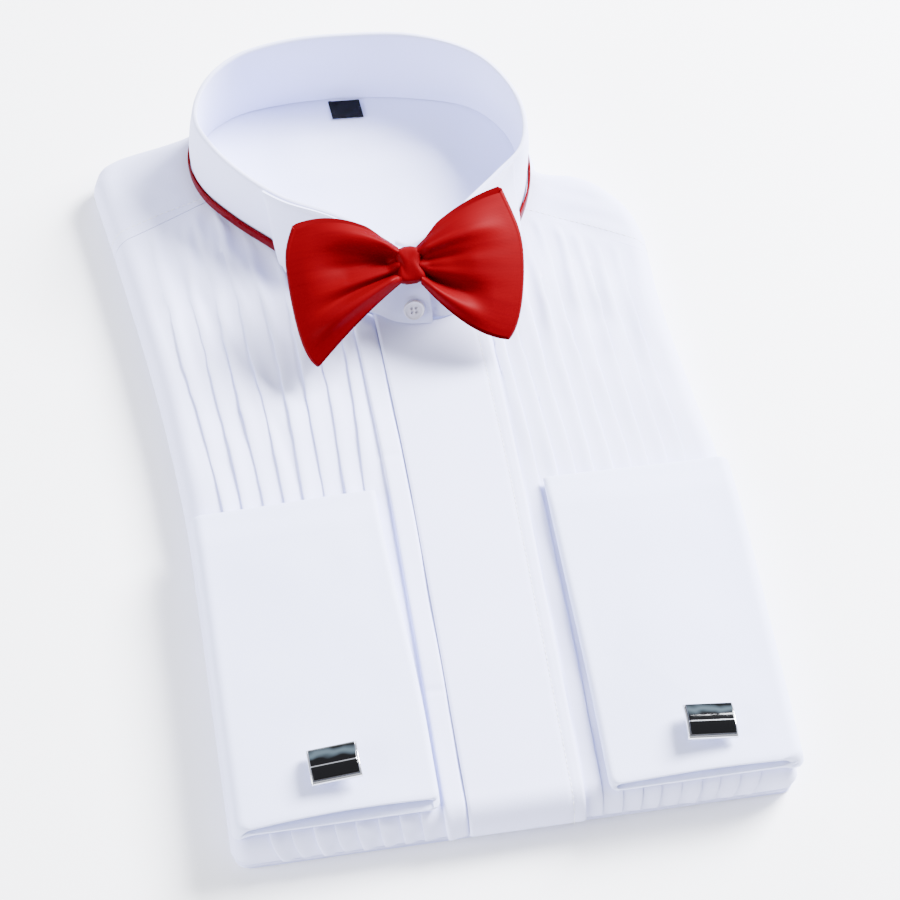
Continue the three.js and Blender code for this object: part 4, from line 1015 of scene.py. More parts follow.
    def relief(self, columns: np.ndarray, x: np.ndarray, y: np.ndarray, ends: np.ndarray) -> np.ndarray:
        """Height of the pleats and folds over the smooth cloth."""
        pleats = PLEATS[self.side]
        number = columns[:, 4]
        crisp = self.crispness(y)
        phase = (columns[:, 1] - pleats.first) / pleats.pitch
        strength = 1.0 + 0.45 * np.sin(y / 19.0 + number * 1.7)
        soft = (0.95 if self.side is Side.LEFT else 0.5) * strength * (0.5 + 0.5 * np.cos(math.tau * (phase + 0.18))) ** 1.5
        soft = np.where(number >= 0, soft, 0.0) * smoothstep(y, 45, 95)
        lively = 1 + 0.2 * np.sin(y / 17.0 + number * 2.3) + 0.16 * np.sin(y / 6.3 + number * 3.1)
        lively = lively * (1 - 0.25 * smoothstep(-y, 140, 166))
        if self.side is Side.RIGHT:
            lively = lively * (1 - 0.45 * smoothstep(number, 3.5, 6.5) * smoothstep(y, -120, -60))
        pleat = columns[:, 2] * np.where(number >= 0, crisp * lively, 1.0)
        slit = np.where((number >= 0) & (np.abs(phase - np.round(phase) - 0.03) < 0.005), -0.75, 0.0)
        slit = slit * smoothstep(-y, 110, 140)
        tacks = np.exp(-(((y - 2.0) / 1.3) ** 2)) + np.exp(-(((y + 112.0) / 1.3) ** 2))
        slit = slit - 0.5 * tacks * np.where((number == -2) & (columns[:, 2] > 1.2), 1.0, 0.0)
        to_end = np.clip((ends[None, :] - y) / 9.0, 0, 1)
        calm = self.calm(columns, x, y, ends)
        folds = lift_all(self.creases, x, y) * calm
        waves = unevenness(x, y, 11 if self.side is Side.LEFT else 12, 46, 0.9) * calm
        return pleat * to_end + slit + soft * calm + folds + np.maximum(waves, -0.3)


LEFT_CREASES = (
    Crease(-112, 118, -96, 60, 6.0, 1.6),
    Crease(-98, 128, -84, 64, 4.5, 1.4),
    Crease(-84, 136, -70, 70, 5.0, 1.7),
    Crease(-74, 122, -58, 62, 4.5, 1.5),
    Crease(-62, 104, -50, 52, 4.0, 1.2),
    Crease(-50, 88, -40, 44, 3.5, 1.0),
    Crease(-118, 84, -108, 20, 5.0, 0.9),
    Crease(-90, 70, -60, 40, 7.0, -0.8),
    Crease(-68, 84, -52, 70, 6.0, -1.0),
    Crease(-72, 38, -64, -12, 2.6, -0.7),
    Crease(-95, 144, -97, 90, 2.4, 1.0),
    Crease(-86, 133, -83, 88, 2.2, 1.1),
    Crease(-76, 120, -71, 86, 2.4, 1.0),
    Crease(-70, 109, -63, 64, 2.0, 0.8),
    Crease(-96, 112, -88, 72, 3.0, -0.9),
    Crease(-80, 120, -72, 84, 2.6, -0.8),
    Crease(-104, 96, -98, 50, 3.2, -0.8),
)

RIGHT_CREASES = (
    Crease(42, 96, 40, 40, 4.5, 1.2),
    Crease(55, 104, 52, 38, 4.0, 1.3),
    Crease(68, 98, 64, 30, 4.5, 1.1),
    Crease(82, 92, 78, 26, 5.0, 1.2),
    Crease(96, 84, 92, 30, 5.0, 1.0),
    Crease(60, 66, 86, 58, 8.0, -0.7),
)


@dataclass
class Placket:
    """The plain strip down the middle that covers the front's opening."""

    left_x: float = -19.0
    right_x: float = 28.0
    stitch_inset: float = 5.0
    rows: int = 190

    def shell(self) -> Shell:
        """The placket's wall, with its sewn edge drawn in a little."""
        shares = eased(64, 0.55)
        width = self.right_x - self.left_x

        def plan_x(y: np.ndarray) -> np.ndarray:
            return FORM.lean(y) * 0.35 + self.left_x + width * shares

        ends = np.full(len(shares), 70.0)
        for _ in range(12):
            ends = NECK.front_y(plan_x(ends)) - 1.2
        turns = np.linspace(1, 0, 10)
        fold_y = FORM.bottom_y + FORM.reach * (1 - np.sin(turns * math.pi / 2))
        flat = np.linspace(0, 1, self.rows - len(turns) + 1)[1:]
        y = np.concatenate([
            np.broadcast_to(fold_y[:, None], (len(turns), len(shares))),
            lerp(fold_y[-1], ends[None, :], flat[:, None]),
        ])
        x = np.stack([plan_x(line) for line in y])
        points, normals = FORM.skin(x, y)
        base = PANEL_TOP + CLEARANCE
        across = shares * width
        edge = np.minimum(across, width - across)
        rounded = -0.55 * (1 - smoothstep(edge, -0.2, 1.1))
        seam = -0.28 * np.exp(-(((width - across) - self.stitch_inset) / 0.9) ** 2)
        pucker = 0.07 * np.sin(y / 2.1) * np.exp(-(((width - across) - self.stitch_inset) / 2.4) ** 2)
        waves = np.maximum(unevenness(x, y, 5, 60, 0.7), -0.25)
        waves = waves * smoothstep(ends[None, :] - y, 0, 15) * smoothstep(y, FORM.bottom_y, FORM.bottom_y + 20)
        outer = points + normals * (base + PLACKET_WALL + rounded + seam + pucker + waves)[..., None]
        inner = points + normals * (base + np.maximum(0, waves) * 0.7)[..., None]
        return Shell(outer, inner)

    def stitch_column(self) -> int:
        """The column that the stitches run along."""
        shares = eased(64, 0.55)
        return int(np.argmin(np.abs((1 - shares) * (self.right_x - self.left_x) - self.stitch_inset)))


# Which part of the neck seam each share of the yoke's outer edge is joined to, from right to left
YOKE_SPREAD = np.array([
    (0, 3.56), (0.18, 4.5), (0.27, 5.2), (0.36, 6.3), (0.56, 9), (0.74, 12.1), (0.86, 13), (1, 14.1),
])

YOKE_CREASES = (
    Crease(-126, 152, -92, 160, 5.0, 0.9),
    Crease(-120, 170, -92, 172, 6.0, 0.8),
    Crease(-108, 180, -88, 182, 4.0, 0.6),
    Crease(-112, 142, -90, 153, 3.5, 0.7),
    Crease(96, 112, 62, 130, 5.0, 0.9),
    Crease(92, 124, 66, 136, 4.0, 0.7),
    Crease(98, 101, 70, 116, 3.5, 0.6),
)


@dataclass
class Yoke:
    """The doubled shoulder piece, which runs from seam to seam round the back of the neck."""

    creases: Sequence[Crease] = YOKE_CREASES
    columns: int = 190

    def rim(self) -> np.ndarray:
        """Plan points of its outer edge, from the right seam round to the left seam."""
        line = FORM.outline()
        seam_y = {side: SEAMS[side].outer[1] + 0.5 for side in Side}
        beyond = np.where(line[:, 0] < 0, line[:, 1] > seam_y[Side.LEFT] + 1, line[:, 1] > seam_y[Side.RIGHT] + 1)
        kept = line[beyond]
        ends = {side: np.array([float(FORM.edge_x(np.array(seam_y[side]), side)), seam_y[side]]) for side in Side}
        rim = np.concatenate([[ends[Side.RIGHT]], kept, [ends[Side.LEFT]]])
        length = np.concatenate([[0], np.cumsum(np.linalg.norm(np.diff(rim, axis=0), axis=1))])
        shares = np.linspace(0, 1, self.columns) * length[-1]
        return np.stack([np.interp(shares, length, rim[:, axis]) for axis in (0, 1)], axis=1)

    def shell(self) -> Shell:
        """The yoke's wall: flat by the neck, and rounded over at the body's edge."""
        rim = self.rim()
        shares = np.linspace(0, 1, len(rim))
        neck_share = np.interp(shares, YOKE_SPREAD[:, 0], YOKE_SPREAD[:, 1]) / 19
        neck = NECK.seam(neck_share) + NECK.outward(neck_share)[:, :2] * 0.45
        probe = np.linspace(0, 0.97, 70)
        line = lerp(rim[:, None], neck[:, None], probe[None, :, None])
        inset, _ = FORM.nearest(line[..., 0], line[..., 1])
        inset = np.maximum.accumulate(inset, axis=1) + probe * 1e-4
        turns = np.linspace(0, 1, 10)
        wanted = FORM.reach * (1 - np.sin(turns * math.pi / 2))
        fold = np.stack([
            np.interp(wanted * min(1.0, row[-8] / FORM.reach), row, probe) for row in inset])
        flat = np.linspace(1, 0, 26)[:-1]
        whole = np.concatenate([lerp(fold[:, :1], 1.0, flat[None, :]), fold], axis=1).T
        plan = lerp(rim[None], neck[None], whole[..., None])
        points, normals = FORM.skin(plan[..., 0], plan[..., 1])
        points[-1, :, 2] = FORM.middle_z
        x, y = plan[..., 0], plan[..., 1]
        by_seams = smoothstep(shares, 0, 0.02) * (1 - smoothstep(shares, 0.98, 1))
        from_neck = np.concatenate([1 - flat, np.ones(len(turns))])[:, None]
        free = by_seams[None] * smoothstep(from_neck, 0.02, 0.35) * smoothstep(FORM.nearest(x, y)[0], 0.4, 9)
        folds = lift_all(self.creases, x, y) * free
        waves = unevenness(x, y, 21, 38, 0.8) * free
        relief = folds + np.maximum(waves, -0.25)
        outer = points + normals * (PANEL_TOP + relief)[..., None]
        inner = points + normals * (CLEARANCE + np.maximum(0, relief) * 0.8)[..., None]
        return Shell(outer, inner)


@dataclass
class NeckInside:
    """The inside of the shirt's back, seen through the neck."""

    middle: tuple[float, float] = (-14.0, 140.0)
    inset: float = 0.45
    count: int = 90
    creases: Sequence[Crease] = (
        Crease(-60, 150, 30, 160, 7.0, 0.8),
        Crease(-50, 172, 20, 178, 5.0, 0.6),
        Crease(-30, 108, 20, 120, 6.0, 0.7),
    )

    def shell(self) -> Shell:
        """A flat disc of cloth as a square grid."""
        across, along = np.meshgrid(np.linspace(-1, 1, self.count), np.linspace(-1, 1, self.count))
        disc_x = across * np.sqrt(1 - along**2 / 2)
        disc_y = along * np.sqrt(1 - across**2 / 2)
        share = np.linspace(0, 1, 400, endpoint=False)
        edge = NECK.seam(share) - NECK.outward(share)[:, :2] * self.inset - np.array(self.middle)
        angle = np.unwrap(np.arctan2(edge[:, 1], edge[:, 0]))
        radius = np.linalg.norm(edge, axis=1)
        order = np.argsort(angle % math.tau)
        turned = (angle % math.tau)[order]
        here = np.arctan2(disc_y, disc_x) % math.tau
        reach = np.interp(here, turned, radius[order], period=math.tau)
        x = self.middle[0] + reach * np.hypot(disc_x, disc_y) * np.cos(here)
        y = self.middle[1] + reach * np.hypot(disc_x, disc_y) * np.sin(here)
        free = smoothstep(1 - np.hypot(disc_x, disc_y), 0.0, 0.25)
        relief = (lift_all(self.creases, x, y) + np.maximum(unevenness(x, y, 31, 40, 0.8), -0.2)) * free
        z = FORM.flat_z(x, y)
        outer = np.stack([x, y, z + PANEL_TOP + relief], axis=-1)
        inner = np.stack([x, y, z + CLEARANCE + np.maximum(0, relief) * 0.8], axis=-1)
        return Shell(outer, inner)


@dataclass
class CollarStand:
    """The stiff standing band, with its two ends lapped at the front."""

    sections: int = 260
    rises: int = 30

    def wave(self, share: np.ndarray, height: np.ndarray) -> np.ndarray:
        """Millimetres that the stand bows in and out as it goes round."""
        free = np.sin(math.pi * np.clip(height, 0, 1))
        turn = share * math.tau
        return free * (0.35 * np.sin(3 * turn + 0.6) + 0.25 * np.sin(7 * turn + 2.0) + 0.12 * np.sin(13 * turn))

    def shell(self) -> Shell:
        """The stand's wall, rounded along its top fold."""
        share = np.linspace(-NECK.overlap, 1 + NECK.overlap, self.sections)[None, :]
        height = np.concatenate([np.linspace(0, 0.93, self.rises), [0.955, 0.975, 0.99, 1.0]])[:, None]
        round_top = np.sqrt(np.maximum(0.0, 1 - np.clip((height - 0.955) / 0.047, 0, 1) ** 2))
        seam = 0.25 * np.exp(-(((height - 0.09) / 0.022) ** 2))
        half = STAND_WALL / 2 * (0.12 + 0.88 * round_top)
        middle = NECK.lap(share) + self.wave(share, height)
        return Shell(
            NECK.wall(share, height, middle + half - seam),
            NECK.wall(share, height, middle - half + seam * 0.4),
        )


# The folded-down wings: share round the neck and drop from the rim, from the back of a wing to its front
WING_ROWS = {
    Side.LEFT: np.array([(15.55, 1.2), (16.2, 1.16), (17, 0.95), (17.6, 0.7), (18, 0.45)]),
    Side.RIGHT: np.array([(3.4, 1.1), (3.0, 1.08), (2.2, 0.9), (1.5, 0.66), (1, 0.45)]),
}


@dataclass
class CollarWing:
    """A wing that is folded down from the collar's rim to its tip."""

    side: Side
    columns: int = 60
    rises: int = 44
    tip_lift: float = 5.2
    skew: float = 0.042

    def shell(self) -> Shell:
        """The wing's wall, bent out from the rim."""
        table = WING_ROWS[self.side]
        place = np.linspace(0, 1, self.columns)
        rows = place * (len(table) - 1)
        share = np.interp(rows, np.arange(len(table)), table[:, 0]) / 19
        drop = np.interp(rows, np.arange(len(table)), table[:, 1])
        down = np.linspace(0, 1, self.rises)[:, None]
        skewed = share + (1 if self.side is Side.LEFT else -1) * self.skew * down * (1 - place)
        start = STAND_WALL / 2 + CLEARANCE * 1.3
        lift = start + self.tip_lift * smoothstep(down, 0.15, 1) + 0.35 * np.sin(place * 5.0) * down
        height = 1.005 - drop * down
        middle = NECK.wall(skewed, height, NECK.lap(skewed) + lift)
        distance, _ = FORM.nearest(middle[..., 0], middle[..., 1])
        floor = FORM.skin(middle[..., 0], middle[..., 1])[0][..., 2] + PANEL_TOP + 0.95 + 1.2
        middle[..., 2] = np.maximum(middle[..., 2], floor)
        normals = surface_normals(middle, upward=False)
        outward = NECK.outward(share)[None].repeat(self.rises, axis=0)
        facing = np.sign((normals * outward).sum(-1).sum())
        edge = np.minimum.reduce([
            np.broadcast_to(place * 60, middle.shape[:2]), np.broadcast_to((1 - place) * 60, middle.shape[:2]),
            np.broadcast_to((1 - down) * 30, middle.shape[:2]), np.broadcast_to(down * 30, middle.shape[:2])])
        thin = 0.5 * (1 - smoothstep(edge, 0, 1.6))
        return Shell(middle + normals * facing * (WING_WALL - thin)[..., None], middle)


@dataclass
class NeckLabel:
    """The small bare label inside the back of the neck."""

    length: float = 14.0
    width: float = 10.0
    centre: tuple[float, float] = (-17.3, 190.3)
    turn: float = -4.0
    skew: float = 0.14

    def shell(self) -> Shell:
        """The label's wall, with its long edges raised as they are turned under."""
        across, along = np.meshgrid(np.linspace(-0.5, 0.5, 40), np.linspace(-0.5, 0.5, 28))
        angle = math.radians(self.turn)
        leaning = math.sin(angle) + self.skew
        x = self.centre[0] + across * self.length * math.cos(angle) - along * self.width * leaning
        y = self.centre[1] + across * self.length * math.sin(angle) + along * self.width * math.cos(angle)
        base = FORM.flat_z(x, y) + PANEL_TOP + CLEARANCE
        turned = 0.25 * smoothstep(np.abs(across) * self.length, 5.2, 5.8)
        rounded = -0.2 * smoothstep(np.abs(across) * self.length, 6.6, 7.0)
        bulge = 0.3 * np.cos(across * math.pi) * np.cos(along * math.pi)
        outer = np.stack([x, y, base + 0.7 + turned + rounded + bulge], axis=-1)
        return Shell(outer, np.stack([x, y, base + bulge * 0.9], axis=-1))


@dataclass
class CollarButton:
    """The small button that closes the stand, seen under the bow's knot."""

    radius: float = 4.6
    thickness: float = 2.0
    hole_radius: float = 0.75
    hole_reach: float = 1.35

    def mesh(self, name: str) -> bpy.types.Object:
        """Makes the button with a raised rim and four hollows for its thread."""
        seat = NECK.wall(np.array(0.0), np.array(0.24), np.array(STAND_WALL + 0.2 + 0.35 + 0.35))
        rise = unit(NECK.wall(np.array(0.0), np.array(0.4), np.array(0.0))
                    - NECK.wall(np.array(0.0), np.array(0.28), np.array(0.0)))
        facing = np.cross(np.array([1.0, 0, 0]), rise)
        facing = unit(facing)
        sideways = np.cross(rise, facing)
        segments, rings = 48, 22
        angle = np.arange(segments) / segments * math.tau
        reach = np.linspace(0.06, 1, rings)[:, None] * self.radius
        x, y = reach * np.cos(angle), reach * np.sin(angle)
        share = reach / self.radius
        dish = 1.6 + 0.4 * np.exp(-(((share - 0.9) / 0.1) ** 2)) - 1.0 * smoothstep(share, 0.93, 1.0)
        top = np.broadcast_to(dish, x.shape).copy()
        for turn in range(4):
            hole_x = self.hole_reach * math.cos(math.tau * (turn + 0.5) / 4)
            hole_y = self.hole_reach * math.sin(math.tau * (turn + 0.5) / 4)
            gap = np.hypot(x - hole_x, y - hole_y)
            top -= 1.1 * (1 - smoothstep(gap, self.hole_radius * 0.6, self.hole_radius))
        under = np.broadcast_to(0.6 * smoothstep(share, 0.8, 1.0), x.shape)

        def place(height: np.ndarray) -> np.ndarray:
            return seat + x[..., None] * sideways + y[..., None] * rise + height[..., None] * facing

        upper, lower = place(top), place(under)
        points = np.concatenate([upper.reshape(-1, 3), lower.reshape(-1, 3)])
        faces = []
        count = rings * segments
        for ring in range(rings - 1):
            for index in range(segments):
                after = (index + 1) % segments
                here, beyond = ring * segments, (ring + 1) * segments
                faces.append([here + index, beyond + index, beyond + after, here + after])
                faces.append([count + here + after, count + beyond + after, count + beyond + index,
                              count + here + index])
        rim = (rings - 1) * segments
        faces += [[rim + index, count + rim + index, count + rim + (index + 1) % segments,
                   rim + (index + 1) % segments] for index in range(segments)]
        faces.append(list(range(segments)))
        faces.append([count + index for index in reversed(range(segments))])
        return make_mesh(name, points, faces)


@dataclass(frozen=True)
class CuffForm:
    """The flat tube of one cuff, as it lies over the front with its mouth at the bottom."""

    side: Side
    top_y: float
    mouth_y: float
    inner_top_x: float
    inner_mouth_x: float
    overhang: float
    lens: float
    set_back_inner: float
    set_back_outer: float
    creases: Sequence[Crease] = ()
    lift: float = PANEL_TOP + 0.95 + 0.5
    closed: float = 3.6
    open: float = 5.6
    softness: float = 0.8

    def station(self, y: np.ndarray) -> np.ndarray:
        """Share of the way from the sleeve's end to the mouth."""
        return np.clip((y - self.top_y) / (self.mouth_y - self.top_y), 0.0, 1.0)

    def edges(self, y: np.ndarray) -> tuple[np.ndarray, np.ndarray]:
        """The x of the outer and the inner edge."""
        outer = FORM.edge_x(y, self.side, rounded=False) + self.side.sign * self.overhang
        inner = lerp(self.inner_top_x, self.inner_mouth_x, smoothstep(self.station(y), 0, 0.8))
        return outer, inner

    def rest_z(self, x: np.ndarray, y: np.ndarray, from_edge: np.ndarray) -> np.ndarray:
        """Height that the cuff rests at, bent down over the side fold."""
        inset = np.clip((from_edge + 1) / FORM.reach, 0.0, 1.0)
        arc = np.sqrt(1 - (1 - inset) ** 2)
        crown = FORM.flat_z(x, y) - FORM.top_z
        return FORM.middle_z + (FORM.top_z - FORM.middle_z) * arc + crown + self.lift

    def thickness(self, y: np.ndarray, share: np.ndarray) -> np.ndarray:
        """Height from the lower skin to the upper one."""
        station = self.station(y)
        across = np.sin(math.pi * share)
        swell = self.lens * smoothstep(station, 0.55, 1) * across
        opened = lerp(self.closed, self.open, smoothstep(station, 0, 0.12))
        return opened + swell + self.softness * across * np.sin(math.pi * station)

    def top_z(self, x: float, y: float) -> float:
        """Height of the upper skin over a plan point."""
        outer, inner = self.edges(np.array(y))
        from_edge = abs(x - outer)
        share = from_edge / abs(inner - outer)
        return float(self.rest_z(np.array(x), np.array(y), from_edge) + self.thickness(np.array(y), share))


CUFFS = {
    Side.LEFT: CuffForm(
        Side.LEFT, -15.0, -164.5, -34.0, -29.6, 0.6, 2.0, 2.8, 0.0,
        creases=(
            Crease(-98, -40, -60, -58, 12.0, 0.5), Crease(-104, -96, -66, -110, 14.0, 0.5),
            Crease(-60, -78, -42, -124, 9.0, -0.35), Crease(-90, -132, -50, -150, 10.0, 0.35),
            Crease(-52, -22, -48, -60, 8.0, 0.4),
        ),
    ),
    Side.RIGHT: CuffForm(
        Side.RIGHT, -20.0, -167.5, 36.2, 37.8, 3.8, 1.1, 0.8, 1.0,
        creases=(
            Crease(102, -48, 62, -60, 12.0, 0.5), Crease(98, -92, 56, -116, 14.0, 0.45),
            Crease(52, -60, 48, -120, 9.0, -0.35), Crease(104, -128, 70, -140, 10.0, 0.3),
        ),
    ),
}


@dataclass
class Cuff:
    """A double cuff: a pressed tube that is open at its mouth."""

    form: CuffForm
    halves: int = 64
    rows: int = 120
    corner: float = 4.5

    def ring(self, station: np.ndarray, wall: np.ndarray, thin: np.ndarray) -> np.ndarray:
        """Rings of the tube at these stations, a wall's width inside the skin.

        Args:
            station: shares of the way to the mouth, one a ring.
            wall: millimetres inside the outer skin, one a ring.
            thin: millimetres that the ring is pressed flatter.

        Returns:
            The rings, one a row, with the lower skin first.
        """
        form = self.form
        share = eased(self.halves, 0.75)
        share = np.concatenate([share, share[::-1]])
        top = np.arange(2 * self.halves) >= self.halves
        row_y = lerp(form.top_y, form.mouth_y, station)[:, None]
        bowed = form.lens * 0.4 * np.sin(math.pi * share)
        set_back = lerp(form.set_back_outer, form.set_back_inner, share) + bowed
        y = row_y + np.where(top, set_back * smoothstep(station, 0.82, 1)[:, None], 0.0)
        outer, inner = form.edges(y)
        to_mouth = np.clip((row_y - form.mouth_y) / self.corner, 0, 1)
        pulled = self.corner * (1 - np.sqrt(1 - (1 - to_mouth) ** 2))
        outer = outer - form.side.sign * pulled * (1.0 if form.side is Side.RIGHT else 0.5)
        inner = inner + form.side.sign * pulled * 0.3
        width = np.abs(inner - outer)
        wall = wall[:, None]
        from_edge = lerp(wall, width - wall, share)
        x = lerp(outer, inner, from_edge / width)
        full = form.thickness(y, share)
        edge = np.minimum(from_edge - wall, width - wall - from_edge)
        half = full / 2 - wall
        roundness = np.sqrt(np.maximum(0.02, 1 - (1 - np.clip(edge / 2.6, 0, 1)) ** 2))
        half = np.maximum(half * roundness - thin[:, None], 0.12)
        middle = form.rest_z(x, y, from_edge) + full / 2
        folds = (lift_all(form.creases, x, y) + unevenness(x, y, 41, 52, 0.5)) * smoothstep(edge, 0.5, 12)
        ends = smoothstep(station, 0.02, 0.2)[:, None]
        bend = np.maximum(folds * ends, -0.25)
        z = middle + np.where(top, half, -half) + np.where(top, bend, np.maximum(bend, 0) * 0.3)
        return np.stack([x, y, z], axis=-1)

    def shell(self) -> Shell:
        """The cuff's tube: its skin, a rounded mouth, and the hollow inside."""
        station = np.concatenate([[0.0, 0.002, 0.006, 0.012, 0.02], np.linspace(0.03, 0.985, self.rows), [0.995, 1.0]])
        thin = np.interp(station, [0, 0.002, 0.006, 0.012, 0.02], [1.1, 0.6, 0.25, 0.08, 0.0])
        lip = np.interp(station, [0.985, 0.995, 1.0], [0.0, 0.15, 0.7])
        outer = self.ring(station, lip * 0.4, thin)
        depth = np.maximum(station, 0.08)
        hollow = self.ring(np.interp(station, [0, 1], [0.1, 1.0]), np.full(len(depth), CUFF_WALL) - lip * 0.6,
                           np.zeros(len(depth)))
        return Shell(outer, hollow, wraps=True, capped=True)


# Where each cufflink sits on its cuff, and how it is turned and tipped in degrees
LINK_PLACES = {
    Side.LEFT: (-68.7, -144.3, 1.6, -4.7),
    Side.RIGHT: (80.7, -148.4, -1.8, 8.0),
}


@dataclass(frozen=True)
class Cufflink:
    """A rectangular link: a silver tray with a curved black face that has one silver line."""

    side: Side
    length: float = 20.5
    height: float = 15.5
    drop: float = 1.5
    rim: float = 0.8
    line_place: float = 0.38
    steps: int = 40

    def place(self, points: np.ndarray) -> np.ndarray:
        """Moves points from the link's own frame to the cutting plan."""
        x, y, turn, tip = LINK_PLACES[self.side]
        turn, tip = math.radians(turn), math.radians(tip)
        cos_t, sin_t, cos_p, sin_p = math.cos(turn), math.sin(turn), math.cos(tip), math.sin(tip)
        tipped = np.stack([
            points[..., 0] * cos_p + points[..., 2] * sin_p, points[..., 1],
            -points[..., 0] * sin_p + points[..., 2] * cos_p], axis=-1)
        turned = np.stack([
            tipped[..., 0] * cos_t - tipped[..., 1] * sin_t,
            tipped[..., 0] * sin_t + tipped[..., 1] * cos_t, tipped[..., 2]], axis=-1)
        return turned + np.array([x, y, CUFFS[self.side].top_z(x, y)])

    def plate(self, length: float, height: float, thick: float, drop: float, base: float,
              round_over: float) -> Shell:
        """A curved plate with softened edges.

        Args:
            length, height: its sides.
            thick: its thickness.
            drop: how far its long edges bend down.
            base: height of its underside.
            round_over: how far its upper edges are rounded.

        Returns:
            The plate's wall.
        """
        across, along = np.meshgrid(eased(self.steps, 0.6) - 0.5, eased(self.steps, 0.6) - 0.5)
        x, y = across * length, along * height
        edge = np.minimum(length / 2 - np.abs(x), height / 2 - np.abs(y))
        soft = round_over * (1 - np.sqrt(np.maximum(0, 1 - (1 - np.clip(edge / round_over, 0, 1)) ** 2)))
        z = base - drop * (2 * along) ** 2
        return Shell(
            self.place(np.stack([x, y, z + thick - soft], axis=-1)),
            self.place(np.stack([x, y, z], axis=-1)),
        )

    def face(self, name: str) -> bpy.types.Object:
        """The black face."""
        share = (self.height - 2 * self.rim) / self.height
        return self.plate(
            self.length - 2 * self.rim, self.height * share, 1.0, self.drop * share**2, 7.4, 0.45).build(name)

    def line_face(self, piece: bpy.types.Object) -> None:
        """Gives the second material to the narrow row of faces that is the silver line."""
        row = int(np.argmin(np.abs(eased(self.steps, 0.6) - self.line_place)))
        for column in range(self.steps - 1):
            piece.data.polygons[row * (self.steps - 1) + column].material_index = 1

    def tray(self, name: str) -> bpy.types.Object:
        """The silver tray under the face."""
        return self.plate(self.length, self.height, 1.6, self.drop, 5.45, 0.5).build(name)


@dataclass(frozen=True)
class WingShape:
    """The outline of one half of the bow, in the bow's own frame: across from -1 to 1, x, y."""

    side: Side
    knot_top: float
    knot_bottom: float
    outer: tuple[tuple[float, float, float], ...]
    bulge_top: float
    bulge_bottom: float

    def edge(self, across: np.ndarray) -> tuple[np.ndarray, np.ndarray]:
        """The outer edge's x and y, as a smooth curve through the outline's points."""
        table = np.array(self.outer)
        terms = np.polyfit(table[:, 0], table[:, 1:], 4)
        powers = np.stack([np.asarray(across, float) ** power for power in range(4, -1, -1)], axis=-1)
        smooth = powers @ terms
        return smooth[..., 0], smooth[..., 1]


BOW_WINGS = {
    Side.LEFT: WingShape(
        Side.LEFT, 7.5, -6.5,
        ((-1, -43.5, -36.5), (-0.5, -49.3, -21), (0, -50.7, -3), (0.5, -50.3, 9.5), (1, -45.8, 21)), 6.2, 1.5),
    Side.RIGHT: WingShape(
        Side.RIGHT, 7.0, -8.0,
        ((-1, 37, -35.5), (-0.5, 44.5, -20), (0, 47.5, -3), (0.5, 47.2, 9.5), (1, 42.6, 26)), 3.0, -5.0),
}


